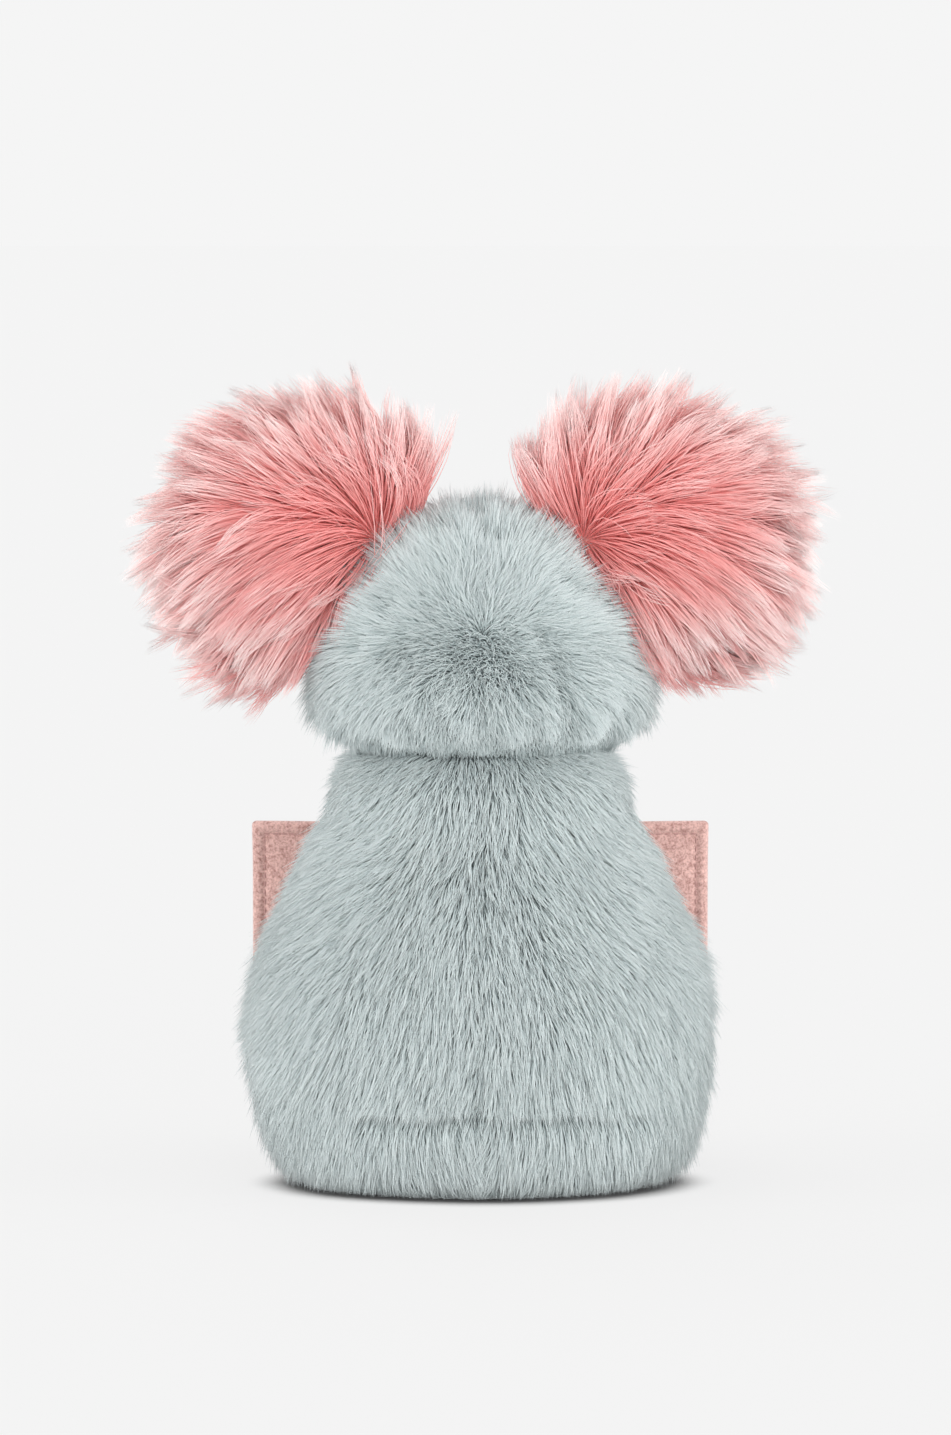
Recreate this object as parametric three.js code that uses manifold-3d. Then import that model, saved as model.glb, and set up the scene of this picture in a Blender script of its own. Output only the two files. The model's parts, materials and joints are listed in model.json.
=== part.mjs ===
// A plush hand puppet: a seated koala in faux fur that holds an open soft book.
// Millimetres, +Z up. The puppet faces -Y, so its left side is +X.
// The origin is the middle of the footprint, on the surface that the puppet stands on.
import * as THREE from 'three';
import { mergeVertices } from 'three/addons/utils/BufferGeometryUtils.js';
import Module from 'manifold-3d';

const wasm = await Module();
wasm.setup();

// ---------------------------------------------------------------- driving dimensions

const GAP = 0.3; // left between pieces that touch
const FAR = 300; // reach of the cutting boxes, past the whole puppet
const PILE = 9; // thickness of the body's fur fabric, backing and pile together
const HAND_AXIS_Y = 23.6; // the hand's axis stands this far behind the middle of the footprint

// Outlines are [half-width, height], fur included.
const TORSO_OUTLINE = [
  [57, 0], [74, 15], [81.5, 45], [79, 74], [67, 101], [56.5, 125], [53, 140], [44, 150],
];
const TORSO_DEPTH = 0.82; // depth as a share of width
const SEAT_SEAM_Z = 31;
const SIDE_SEAM_Y = -6;
const NECK_Z = 150;
const HEAD_OUTLINE = [
  [44, 150], [57, 158], [61, 171], [58.5, 186], [50, 204], [36, 222], [20, 233], [0, 238],
];
const HEAD_DEPTH = 0.88;

const NOD_DEG = 15; // the head nods this far each way
const NECK_RING = { radius: 27, halfHeight: 10, bore: 16.5 };

const BASE_THICKNESS = 2;
const MOUTH_WIDTH = 43; // half-width of the hand opening
const MOUTH_DEPTH = 17; // half-depth of the hand opening
const LINING = 1.2; // lining cloth
const BINDING = 2.2; // width of the binding round the hand opening
const POCKET_RADIUS = 17; // two fingers
const POCKET_TOP_Z = 208;

const EAR = { x: 66.5, z: 222.5, halfWidth: 54, halfDepth: 30, halfHeight: 58 };
const EAR_PAD = { x: 76, z: 228.5, halfWidth: 31, halfDepth: 6.5, halfHeight: 33 };
const EAR_SEAM_TOP = [17, 236];
const EAR_SEAM_BOTTOM = [58, 172];
const EAR_PIVOT = [45, 0, 209];
const EAR_FLOP_DEG = 18;

const NOSE = { z: 187, y: -46, halfWidth: 11, halfDepth: 12, halfHeight: 14 };
const EYE = { at: [20.5, -42, 202], radius: 6, flange: 2, post: 1.8, depth: 13 };
const WASHER = { radius: 5.2, thickness: 1.5, depth: 10.4 };

const ARM = { x: 36, z: 96, shoulderY: -46, radius: 15.5, bore: 10.2 };
const ARM_SWING_DEG = 35;
const LEG = { x: 30, y: -50, z: 14.7, radius: 14.5, length: 62, splayDeg: 16 };
const LEG_PILE = 5;
const LEG_IN_DEG = 12;
const LEG_OUT_DEG = 28;

const BOOK = { bottom: 31, height: 86, halfWidth: 81, backY: -80, halfSpine: 8, angleDeg: 10, corner: 3 };
const SUEDE = 1.6;
const WADDING = 2;
const PAGE = { thickness: 1.4, margin: 4, start: 1.5 };
const DOT = { radius: 7, thickness: 1 };
const PAW_PAD = { radius: 9, thickness: 1.2 };
const DOT_GAP = 1; // between the hook dot and the loop dot

const ROUND = 24; // sides of the torso and the head
const SMALL_ROUND = 14; // sides of limbs, dots and pads
const OVAL_ROUND = 20; // sides of the sleeve, the pocket and the neck ring
const OUTLINE_STEPS = 9; // rings of facets up the torso, and up the head

const SIDES = [['left', 1], ['right', -1]]; // a side's name, and what mirrors the left side into it

// ---------------------------------------------------------------- solids from geometry

// A closed three.js geometry as a manifold-3d solid, without the faces that collapse at its poles.
function solid(geometry) {
  const bare = new THREE.BufferGeometry();
  bare.setAttribute('position', geometry.getAttribute('position'));
  bare.setIndex(geometry.index);
  const merged = mergeVertices(bare, 1e-4);
  const corners = merged.index.array;
  const faces = [];
  for (let i = 0; i < corners.length; i += 3) {
    const [a, b, c] = corners.slice(i, i + 3);
    if (a !== b && b !== c && c !== a) faces.push(a, b, c);
  }
  return new wasm.Manifold(new wasm.Mesh({
    numProp: 3,
    vertProperties: merged.attributes.position.array,
    triVerts: new Uint32Array(faces),
  }));
}

function geometryOf(manifold) {
  const mesh = manifold.getMesh();
  const geometry = new THREE.BufferGeometry();
  geometry.setAttribute('position', new THREE.BufferAttribute(mesh.vertProperties, 3));
  geometry.setIndex(new THREE.BufferAttribute(mesh.triVerts, 1));
  geometry.computeVertexNormals();
  return geometry;
}

// A box between two corners.
function block([x0, y0, z0], [x1, y1, z1]) {
  const geometry = new THREE.BoxGeometry(x1 - x0, y1 - y0, z1 - z0);
  return geometry.translate((x0 + x1) / 2, (y0 + y1) / 2, (z0 + z1) / 2);
}

// An outline [radius, height] turned about Z; its depth in Y is a share of its width.
function turned(outline, depth = 1, sides = ROUND) {
  const points = outline.map(([radius, height]) => new THREE.Vector2(radius, height));
  return new THREE.LatheGeometry(points, sides).rotateX(Math.PI / 2).scale(1, depth, 1);
}

// The same, lying down: the outline's height runs towards -Y.
function turnedForward(outline) {
  return turned(outline, 1, SMALL_ROUND).rotateX(Math.PI / 2);
}

// A smooth outline through the points, as [radius, height] pairs.
function smooth(points) {
  const curve = new THREE.SplineCurve(points.map(([r, z]) => new THREE.Vector2(r, z)));
  return curve.getPoints(OUTLINE_STEPS).map((p) => [Math.max(p.x, 0), p.y]);
}

function ellipsoid(halfX, halfY, halfZ, at, across = 18, up = 10) {
  return new THREE.SphereGeometry(1, across, up).scale(halfX, halfY, halfZ).translate(...at);
}

// A solid of oval sections [height, half-width, half-depth], all of them grown by the same amount.
function ovals(levels, grow = 0) {
  const first = levels[0][0];
  const last = levels[levels.length - 1][0];
  const outline = [[0, first], ...levels.map(([z]) => [1, z]), [0, last]];
  const geometry = turned(outline, 1, OVAL_ROUND);
  const position = geometry.getAttribute('position');
  for (let i = 0; i < position.count; i++) {
    const [, halfX, halfY] = levels.find(([z]) => Math.abs(z - position.getZ(i)) < 1e-3);
    position.setX(i, position.getX(i) * (halfX + grow));
    position.setY(i, position.getY(i) * (halfY + grow));
  }
  return geometry;
}

// A geometry built along +Z, turned to point along a direction and moved to a point.
function pointed(geometry, at, direction) {
  const turn = new THREE.Quaternion().setFromUnitVectors(new THREE.Vector3(0, 0, 1), direction);
  return geometry.applyQuaternion(turn).translate(...at);
}

function turnAbout(geometry, at, axis, degrees) {
  const turn = new THREE.Quaternion().setFromAxisAngle(axis, THREE.MathUtils.degToRad(degrees));
  const [x, y, z] = at;
  return geometry.clone().translate(-x, -y, -z).applyQuaternion(turn).translate(x, y, z);
}

// The room that an obstacle takes, seen from a piece that swings about an axis between two angles.
function sweptBy(obstacle, at, axis, fromDeg, toDeg) {
  const seenAt = (degrees) => solid(turnAbout(obstacle, at, axis, -degrees));
  return seenAt(fromDeg).add(seenAt((fromDeg + toDeg) / 2)).add(seenAt(toDeg));
}

// ---------------------------------------------------------------- materials and nodes

const cloth = (color, roughness = 0.95) => ({ color, roughness, metalness: 0 });
const LOOKS = {
  greyFur: cloth(0xb6c0c3),
  pinkFur: cloth(0xeba9a9),
  suede: cloth(0xd9aaa3, 0.9),
  lining: cloth(0xcfcac4),
  wadding: cloth(0xf1efe9),
  page: cloth(0xf3ede0),
  leather: cloth(0x5a5356, 0.6),
  plastic: cloth(0x17151a, 0.15),
  hookAndLoop: cloth(0xe7c9c4),
  thread: cloth(0x55484c, 0.7),
};

function addMesh(parent, name, look, geometry) {
  const mesh = new THREE.Mesh(geometry, new THREE.MeshStandardMaterial(LOOKS[look]));
  mesh.name = name;
  parent.add(mesh);
}

const addSolid = (parent, name, look, manifold) => addMesh(parent, name, look, geometryOf(manifold));

// ---------------------------------------------------------------- outer and inner forms

const torsoCurve = smooth(TORSO_OUTLINE);
const headCurve = smooth(HEAD_OUTLINE);
const headWidest = Math.max(...headCurve.map(([radius]) => radius));
const headTop = headCurve[headCurve.length - 1][1];

const torsoForm = turned([[0, 0], ...torsoCurve, [0, NECK_Z]], TORSO_DEPTH);
const headForm = turned([[0, NECK_Z], ...headCurve], HEAD_DEPTH);

// The same forms a little wider, to cut clearance into what swings beside them.
const CLEARANCE = 1.012;
const torsoRoom = torsoForm.clone().scale(CLEARANCE, CLEARANCE, 1);
const headRoom = headForm.clone().translate(0, 0, -NECK_Z)
  .scale(CLEARANCE, CLEARANCE, CLEARANCE).translate(0, 0, NECK_Z);

// The inside of the torso's fabric, left smaller by a margin and cut off at the given heights.
function torsoHollow(margin, low, high) {
  const inside = torsoCurve.map(([radius, z]) => [radius - PILE - margin, z]);
  inside[0][1] = low;
  inside[inside.length - 1][1] = high;
  return solid(turned([[0, low], ...inside, [0, high]], TORSO_DEPTH));
}

// The inside of the head's fabric: its outline, drawn in towards the neck.
function headHollow(margin, low) {
  const across = (headWidest - PILE - margin) / headWidest;
  const up = (headTop - PILE - margin - NECK_Z) / (headTop - NECK_Z);
  const inside = headCurve.map(([radius, z]) => [radius * across, NECK_Z + (z - NECK_Z) * up]);
  return solid(turned([[0, low], [inside[0][0], low], ...inside], HEAD_DEPTH));
}

// A double cone that keeps the torso and the head apart while the head nods.
function neckNotch() {
  const rise = Math.tan(THREE.MathUtils.degToRad(NOD_DEG / 2 + 1)) * FAR;
  const outline = [[0, NECK_Z - GAP], [FAR, NECK_Z - rise], [FAR, NECK_Z + rise], [0, NECK_Z + GAP]];
  return solid(turned(outline));
}

const notch = neckNotch();
function neckBall(grow) {
  const radius = NECK_RING.radius + grow;
  return solid(ellipsoid(radius, radius, radius, [0, 0, NECK_Z], OVAL_ROUND, 10));
}

// The sleeve's sections from its mouth to the neck: it is widest where thumb and little finger spread.
const SLEEVE_START = 3.3;
const SLEEVE_LEVELS = [
  [SLEEVE_START, MOUTH_WIDTH, MOUTH_DEPTH],
  [55, 41, MOUTH_DEPTH],
  [80, 42, MOUTH_DEPTH],
  [102, 44, MOUTH_DEPTH],
  [112, 34, 16.5],
  [124, 21, 16.5],
  [132, POCKET_RADIUS, POCKET_RADIUS],
  [NECK_Z - NECK_RING.halfHeight - 2 * GAP, POCKET_RADIUS, POCKET_RADIUS],
];

// Levels made longer at both ends, for cutting right through.
function through(levels, overrun = 5) {
  const long = levels.map((level) => [...level]);
  long[0][0] -= overrun;
  long[long.length - 1][0] += overrun;
  return long;
}

// A finger's way from the sleeve into the left arm.
const armTunnel = solid(
  turnedForward([[0, 0], [ARM.bore + GAP, 0], [ARM.bore + GAP, FAR], [0, FAR]]).translate(ARM.x, 0, ARM.z));

// ---------------------------------------------------------------- torso

function addTorso(parent) {
  const shell = solid(torsoForm).subtract(torsoHollow(0, -1, NECK_Z + 1)).subtract(notch);
  const half = GAP / 2;
  const backLeft = shell.intersect(solid(
    block([half, SIDE_SEAM_Y + half, SEAT_SEAM_Z + half], [FAR, FAR, FAR])));
  const bellyLeft = shell.intersect(solid(
    block([half, -FAR, SEAT_SEAM_Z + half], [FAR, SIDE_SEAM_Y - half, FAR])));
  const bandLeft = shell.intersect(solid(block([half, -FAR, -1], [FAR, FAR, SEAT_SEAM_Z - half])));

  for (const [side, mirror] of SIDES) {
    const place = mirrored(parent, mirror);
    addSolid(place, `back_panel_${side}`, 'greyFur', backLeft);
    addSolid(place, `belly_panel_${side}`, 'greyFur', bellyLeft.subtract(armTunnel));
    addSolid(place, `seat_band_${side}`, 'greyFur', bandLeft);
  }
  addBase(parent);
  addSleeve(parent);
  addBodyStuffing(parent);
}

// A group for one side of the puppet: pieces are made for the left side, and mirrored for the right.
function mirrored(parent, mirror) {
  const group = new THREE.Group();
  group.scale.x = mirror;
  parent.add(group);
  return group;
}

// The base panel closes the bottom round the hand opening, and a binding edges the opening.
function addBase(parent) {
  const edge = TORSO_OUTLINE[0][0] - PILE - GAP;
  const rim = [[0, 0], [edge, 0], [edge, BASE_THICKNESS], [0, BASE_THICKNESS]];
  const opening = [[0, MOUTH_WIDTH, MOUTH_DEPTH], [BASE_THICKNESS + 1, MOUTH_WIDTH, MOUTH_DEPTH]];
  const panel = solid(turned(rim, TORSO_DEPTH)).subtract(solid(ovals(through(opening), BINDING + GAP)));
  const binding = solid(ovals(opening, BINDING)).subtract(solid(ovals(through(opening))));
  addSolid(parent, 'base_panel', 'suede', panel);
  addSolid(parent, 'hand_opening_binding', 'lining', binding);
}

function addSleeve(parent) {
  const wall = solid(ovals(SLEEVE_LEVELS, LINING)).subtract(solid(ovals(through(SLEEVE_LEVELS))));
  addSolid(parent, 'hand_sleeve', 'lining', wall.subtract(pair(armTunnel)));
}

// Two wadding batts, one in front of the sleeve and one behind it.
function addBodyStuffing(parent) {
  const aboveBase = solid(block([-FAR, -FAR, NECK_Z - NECK_RING.halfHeight - GAP], [FAR, FAR, FAR]));
  const stuffing = torsoHollow(GAP, SLEEVE_START, NECK_Z + 1)
    .subtract(solid(ovals(through(SLEEVE_LEVELS), LINING + GAP)))
    .subtract(neckBall(2 * GAP).intersect(aboveBase))
    .subtract(pair(armTunnel))
    .subtract(notch);
  const front = solid(block([-FAR, -FAR, 0], [FAR, -GAP / 2, FAR]));
  const back = solid(block([-FAR, GAP / 2, 0], [FAR, FAR, FAR]));
  addSolid(parent, 'body_stuffing_front', 'wadding', stuffing.intersect(front));
  addSolid(parent, 'body_stuffing_back', 'wadding', stuffing.intersect(back));
}

// ---------------------------------------------------------------- neck and head

// A soft ring, ball-shaped outside, that the fingers pass through on their way into the head.
function addNeckRing(parent) {
  const { halfHeight, bore } = NECK_RING;
  const slab = solid(block([-FAR, -FAR, NECK_Z - halfHeight], [FAR, FAR, NECK_Z + halfHeight]));
  const hole = solid(turned([[0, 0], [bore, 0], [bore, FAR], [0, FAR]], 1, OVAL_ROUND));
  addSolid(parent, 'neck_ring', 'wadding', neckBall(0).intersect(slab).subtract(hole));
}

const eyeDirection = new THREE.Vector3(0.31, -0.825, 0.474).normalize();

// An outline turned about the left eye's own line, with height 0 at the eye and growing outwards.
const aboutEye = (outline) => solid(pointed(turned(outline, 1, SMALL_ROUND), EYE.at, eyeDirection));

// A domed eye on its post, grown by a margin.
function eyeForm(margin) {
  const rim = EYE.radius + margin;
  const stem = EYE.post + margin;
  const flange = -EYE.flange - margin;
  const end = -EYE.depth - margin;
  return aboutEye([
    [0, end], [stem, end], [stem, flange], [rim, flange],
    [rim, 0], [rim * 0.87, rim * 0.5], [rim * 0.5, rim * 0.87], [0, rim],
  ]);
}

// The washer that holds the post behind the face's backing.
function washerForm() {
  const { radius, thickness, depth } = WASHER;
  const bore = EYE.post + GAP;
  const inner = -depth - thickness;
  return aboutEye([[bore, inner], [radius, inner], [radius, -depth], [bore, -depth], [bore, inner]]);
}

// The room that a washer and the end of its post take in the stuffing.
function washerRoom() {
  const rim = WASHER.radius + GAP;
  const inner = -EYE.depth - GAP;
  return aboutEye([[0, inner], [rim, inner], [rim, 0], [0, 0]]);
}

// The same solid and its mirror image in the plane between left and right.
function pair(manifold) {
  return manifold.add(manifold.mirror([1, 0, 0]));
}

function noseForm(margin) {
  const { z, y, halfWidth, halfDepth, halfHeight } = NOSE;
  return solid(ellipsoid(halfWidth + margin, halfDepth + margin, halfHeight + margin, [0, y, z]));
}

function addHead(parent) {
  const half = GAP / 2;
  const shell = solid(headForm).subtract(headHollow(0, NECK_Z - 1)).subtract(notch);
  const backLeft = shell.intersect(solid(block([half, SIDE_SEAM_Y + half, 0], [FAR, FAR, FAR])));
  const face = shell
    .intersect(solid(block([-FAR, -FAR, 0], [FAR, SIDE_SEAM_Y - half, FAR])))
    .subtract(pair(eyeForm(GAP)))
    .subtract(noseForm(GAP));

  for (const [side, mirror] of SIDES) {
    const place = mirrored(parent, mirror);
    addSolid(place, `head_back_${side}`, 'greyFur', backLeft);
    addSolid(place, `eye_${side}`, 'plastic', eyeForm(0));
    addSolid(place, `eye_washer_${side}`, 'plastic', washerForm());
  }
  addSolid(parent, 'face_panel', 'greyFur', face);
  addSolid(parent, 'nose', 'leather', noseForm(0).subtract(headHollow(-GAP, NECK_Z)));
  addMouth(parent);
  addHeadFilling(parent);
}

// One line of stitching under the nose, laid on the fur.
function addMouth(parent) {
  const line = new THREE.QuadraticBezierCurve3(
    new THREE.Vector3(-9, -54.4, 169),
    new THREE.Vector3(0, -55.6, 165),
    new THREE.Vector3(9, -54.4, 169),
  );
  const thread = new THREE.Shape().absarc(0, 0, 0.8, 0, 2 * Math.PI);
  const stitch = new THREE.ExtrudeGeometry(thread, { steps: 10, curveSegments: 4, extrudePath: line });
  addMesh(parent, 'mouth_stitch', 'thread', stitch);
}

// The finger pocket is a closed finger-stall in the middle of the head's stuffing.
function addHeadFilling(parent) {
  const domed = (radius, low, top) => solid(turned(
    [[0, low], [radius, low], [radius, top - 14], [radius * 0.72, top - 5], [0, top]], 1, OVAL_ROUND));
  const start = NECK_Z + 5;
  const pocket = domed(POCKET_RADIUS + LINING, start, POCKET_TOP_Z + LINING)
    .subtract(domed(POCKET_RADIUS, start - 5, POCKET_TOP_Z))
    .subtract(neckBall(2 * GAP));
  const stuffing = headHollow(GAP, NECK_Z)
    .subtract(domed(POCKET_RADIUS + LINING + GAP, NECK_Z - 20, POCKET_TOP_Z + LINING + GAP))
    .subtract(neckBall(2 * GAP))
    .subtract(pair(washerRoom()))
    .subtract(notch);
  addSolid(parent, 'finger_pocket', 'lining', pocket);
  addSolid(parent, 'head_stuffing', 'wadding', stuffing);
}

// ---------------------------------------------------------------- ears

// Each ear is a wadded pad between two long-pile halves, and flops about its seam on the head.
function addEars(parent) {
  const [topX, topZ] = EAR_SEAM_TOP;
  const [bottomX, bottomZ] = EAR_SEAM_BOTTOM;
  const seam = new THREE.Vector3(bottomX - topX, 0, bottomZ - topZ).normalize();
  const room = sweptBy(headRoom, EAR_PIVOT, seam, -EAR_FLOP_DEG, EAR_FLOP_DEG);
  const padForm = (margin) => solid(ellipsoid(
    EAR_PAD.halfWidth + margin, EAR_PAD.halfDepth + margin, EAR_PAD.halfHeight + margin,
    [EAR_PAD.x, 0, EAR_PAD.z], 14, 8));
  const fur = solid(ellipsoid(EAR.halfWidth, EAR.halfDepth, EAR.halfHeight, [EAR.x, 0, EAR.z]))
    .subtract(padForm(GAP))
    .subtract(room);
  const back = fur.intersect(solid(block([-FAR, GAP / 2, 0], [FAR, FAR, FAR])));
  const front = fur.intersect(solid(block([-FAR, -FAR, 0], [FAR, -GAP / 2, FAR])));
  for (const [side, mirror] of SIDES) {
    const place = mirrored(parent, mirror);
    addSolid(place, `ear_${side}_back`, 'pinkFur', back);
    addSolid(place, `ear_${side}_front`, 'pinkFur', front);
    addSolid(place, `ear_${side}_pad`, 'wadding', padForm(0));
  }
}

// ---------------------------------------------------------------- the plane of a book cover

// Moves a geometry from a left cover's own frame, with its hinge at the origin, to the puppet's.
function onCover(geometry) {
  const angle = THREE.MathUtils.degToRad(-BOOK.angleDeg);
  return geometry.rotateZ(angle).translate(BOOK.halfSpine, BOOK.backY - SUEDE, 0);
}

// Distances from the cover's hinge along its normal, towards the puppet.
const coverBack = SUEDE;
const hookFace = coverBack + GAP + DOT.thickness;
const loopFace = hookFace + DOT_GAP;
const pawPadFace = loopFace + DOT.thickness + GAP;
const pawTip = pawPadFace + PAW_PAD.thickness + GAP;
const dotFromHinge = (ARM.x - BOOK.halfSpine) / Math.cos(THREE.MathUtils.degToRad(BOOK.angleDeg)) - 1;

// A round patch on a plane parallel to the cover, its near face at a distance from the hinge.
function patch({ radius, thickness }, face) {
  const disc = turnedForward([[0, 0], [radius, 0], [radius, thickness], [0, thickness]]);
  return onCover(disc.translate(dotFromHinge, face + thickness, ARM.z));
}

// ---------------------------------------------------------------- arms and legs

function addArms(parent) {
  const up = new THREE.Vector3(0, 0, 1);
  const pivot = [ARM.x, ARM.shoulderY, ARM.z];
  const room = sweptBy(torsoRoom, pivot, up, 0, ARM_SWING_DEG);
  const reach = 38; // from the outline's start, behind the shoulder, to the paw's round end
  const arm = turnedForward([
    [0, -12], [ARM.radius, -12], [ARM.radius + 0.5, 8], [ARM.radius - 0.5, 24],
    [ARM.radius - 3, 32], [ARM.radius - 7, reach], [0, reach],
  ]).translate(...pivot);
  const beyondTip = solid(onCover(block([-FAR, -FAR, 0], [FAR, pawTip, FAR])));
  const stall = (radius, length) => solid(
    turnedForward([[0, -13], [radius, -13], [radius, length - 5], [radius - 4, length], [0, length]])
      .translate(...pivot));
  const fur = solid(arm).subtract(beyondTip).subtract(stall(ARM.bore + GAP, 29 + GAP)).subtract(room);
  const liningForm = stall(ARM.bore, 29).subtract(stall(ARM.bore - 1, 28)).subtract(room);
  for (const [side, mirror] of SIDES) {
    const place = mirrored(parent, mirror);
    addSolid(place, `arm_${side}_fur`, 'greyFur', fur);
    addSolid(place, `arm_${side}_lining`, 'lining', liningForm);
    addMesh(place, `paw_${side}_pad`, 'suede', patch(PAW_PAD, pawPadFace));
    addMesh(place, `paw_${side}_fastener`, 'hookAndLoop', patch(DOT, loopFace));
  }
}

// The legs lie on the surface in front of the seat, soles forward, under the book.
function addLegs(parent) {
  const up = new THREE.Vector3(0, 0, 1);
  const pivot = [LEG.x, LEG.y, LEG.z];
  const room = sweptBy(torsoRoom, pivot, up, -LEG_IN_DEG, LEG_OUT_DEG);
  const splay = THREE.MathUtils.degToRad(LEG.splayDeg);
  const form = (radius, start, end) => solid(turnedForward([
    [0, start], [radius - 1.5, start], [radius - 1, 12], [radius, 40],
    [radius, end - 9], [radius - 3.5, end], [0, end],
  ]).rotateZ(splay).translate(...pivot));
  const fur = form(LEG.radius, -14, LEG.length).subtract(form(LEG.radius - LEG_PILE, -16, LEG.length + 1));
  const stuffing = form(LEG.radius - LEG_PILE - GAP, -14, LEG.length - GAP);
  const sole = turnedForward([[0, 0], [10, 0], [10, 1.5], [0, 1.5]])
    .translate(0, -LEG.length - GAP, 0).rotateZ(splay).translate(...pivot);
  for (const [side, mirror] of SIDES) {
    const place = mirrored(parent, mirror);
    addSolid(place, `leg_${side}_fur`, 'greyFur', fur.subtract(room));
    addSolid(place, `leg_${side}_stuffing`, 'wadding', stuffing.subtract(room));
    addMesh(place, `foot_${side}_pad`, 'suede', sole);
  }
}

// ---------------------------------------------------------------- book

// An upright sheet with round corners, from one distance from the hinge to another.
function sheet(from, to, low, high, thickness) {
  const { corner } = BOOK;
  const shape = new THREE.Shape();
  shape.moveTo(from, low);
  shape.lineTo(to - corner, low);
  shape.absarc(to - corner, low + corner, corner, -Math.PI / 2, 0);
  shape.absarc(to - corner, high - corner, corner, 0, Math.PI / 2);
  shape.lineTo(from, high);
  const options = { depth: thickness, curveSegments: 4, bevelEnabled: false };
  return new THREE.ExtrudeGeometry(shape, options).rotateX(Math.PI / 2);
}

function addBook(parent) {
  const low = BOOK.bottom;
  const high = low + BOOK.height;
  const spineEdge = BOOK.halfSpine - GAP;
  addMesh(parent, 'book_spine', 'suede', block(
    [-spineEdge, BOOK.backY - SUEDE, low], [spineEdge, BOOK.backY, high]));

  const edge = (BOOK.halfWidth - BOOK.halfSpine) / Math.cos(THREE.MathUtils.degToRad(BOOK.angleDeg));
  const inset = 3;
  const waddingFace = -GAP;
  const liningFace = waddingFace - WADDING - GAP;
  const pageFace = liningFace - LINING - 2 * GAP;
  const layer = (from, to, bottom, top, thickness, face) => onCover(
    sheet(from, to, bottom, top, thickness).translate(0, face, 0));
  for (const [side, mirror] of SIDES) {
    const place = mirrored(parent, mirror);
    addMesh(place, `cover_${side}_outer`, 'suede', layer(0.4, edge, low, high, SUEDE, SUEDE));
    addMesh(place, `cover_${side}_wadding`, 'wadding',
      layer(inset, edge - inset, low + inset, high - inset, WADDING, waddingFace));
    addMesh(place, `cover_${side}_lining`, 'page', layer(1, edge, low, high, LINING, liningFace));
    addMesh(place, `cover_${side}_fastener`, 'hookAndLoop', patch(DOT, coverBack + GAP));
    addMesh(place, `page_${side}`, 'page', layer(
      PAGE.start, edge - PAGE.margin, low + PAGE.margin, high - PAGE.margin, PAGE.thickness, pageFace));
  }
}

// ---------------------------------------------------------------- the whole puppet

const puppet = new THREE.Group();
puppet.position.y = HAND_AXIS_Y;
addTorso(puppet);
addNeckRing(puppet);
addHead(puppet);
addEars(puppet);
addArms(puppet);
addLegs(puppet);
addBook(puppet);

const part = new THREE.Group();
part.add(puppet);

export default part;
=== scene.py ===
"""A plush hand puppet: a seated koala in faux fur that holds an open soft book."""
import json
import math
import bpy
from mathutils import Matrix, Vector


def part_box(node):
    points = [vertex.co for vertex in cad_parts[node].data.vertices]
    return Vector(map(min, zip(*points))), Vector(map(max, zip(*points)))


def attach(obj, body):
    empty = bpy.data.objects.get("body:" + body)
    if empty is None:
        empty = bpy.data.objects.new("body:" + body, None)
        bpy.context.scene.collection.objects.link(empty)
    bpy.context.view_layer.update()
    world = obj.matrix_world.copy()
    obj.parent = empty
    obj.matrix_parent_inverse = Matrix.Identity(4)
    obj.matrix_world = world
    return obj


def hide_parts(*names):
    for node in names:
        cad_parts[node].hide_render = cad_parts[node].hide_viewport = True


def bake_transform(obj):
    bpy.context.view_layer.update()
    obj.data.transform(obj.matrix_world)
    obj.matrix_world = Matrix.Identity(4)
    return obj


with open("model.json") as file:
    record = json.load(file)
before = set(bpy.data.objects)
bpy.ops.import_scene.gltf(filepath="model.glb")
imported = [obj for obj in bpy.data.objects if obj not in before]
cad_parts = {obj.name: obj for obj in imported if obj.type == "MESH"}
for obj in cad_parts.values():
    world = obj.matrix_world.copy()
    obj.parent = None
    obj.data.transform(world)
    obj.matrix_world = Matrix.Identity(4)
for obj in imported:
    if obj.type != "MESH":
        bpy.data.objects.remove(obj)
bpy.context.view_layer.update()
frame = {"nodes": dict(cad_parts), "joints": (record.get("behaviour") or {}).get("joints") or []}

import zlib

import bmesh
import bpy
import numpy as np
from mathutils import Vector, kdtree

JOINTS = {joint["name"]: joint for joint in frame["joints"]}
MM = 0.001

# ---------------- driving dimensions

# The camera's lens is in millimetres, its distance and aim in metres, and its elevation in degrees.
VIEW = {"lens": 200, "distance": 2.735, "elevation": 4, "aim": (0.0017, 0.0236, 0.1603)}

PILE = 9 * MM  # the fur fabric's thickness on the body and the head
BACKING = 1.2 * MM  # the knitted cloth that the fur grows from
INSIDE = PILE - BACKING  # from the fur's outside to the backing's
FLOOR_GAP = 0.3 * MM

# Outlines are [half-width, height] in millimetres, fur included, as in the CAD model.
TORSO_OUTLINE = [[57, 0], [74, 15], [81.5, 45], [79, 74], [67, 101], [56.5, 125], [53, 140], [44, 150]]
TORSO_DEPTH = 0.82
HEAD_OUTLINE = [[44, 150], [57, 158], [61, 171], [58.5, 186], [50, 204], [36, 222], [20, 233], [0, 238]]
HEAD_DEPTH = 0.88

HAND_Y, NECK_Z = JOINTS["neck_turn"]["pos_m"][1:]
SEAT_SEAM_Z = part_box("seat_band_left")[1].z
SIDE_SEAM_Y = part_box("back_panel_left")[0].y
COLLAR_BOTTOM_Z = NECK_Z - 18 * MM  # the fur above it and below the next makes the neck's own pieces
COLLAR_TOP_Z = NECK_Z + 15 * MM

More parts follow.
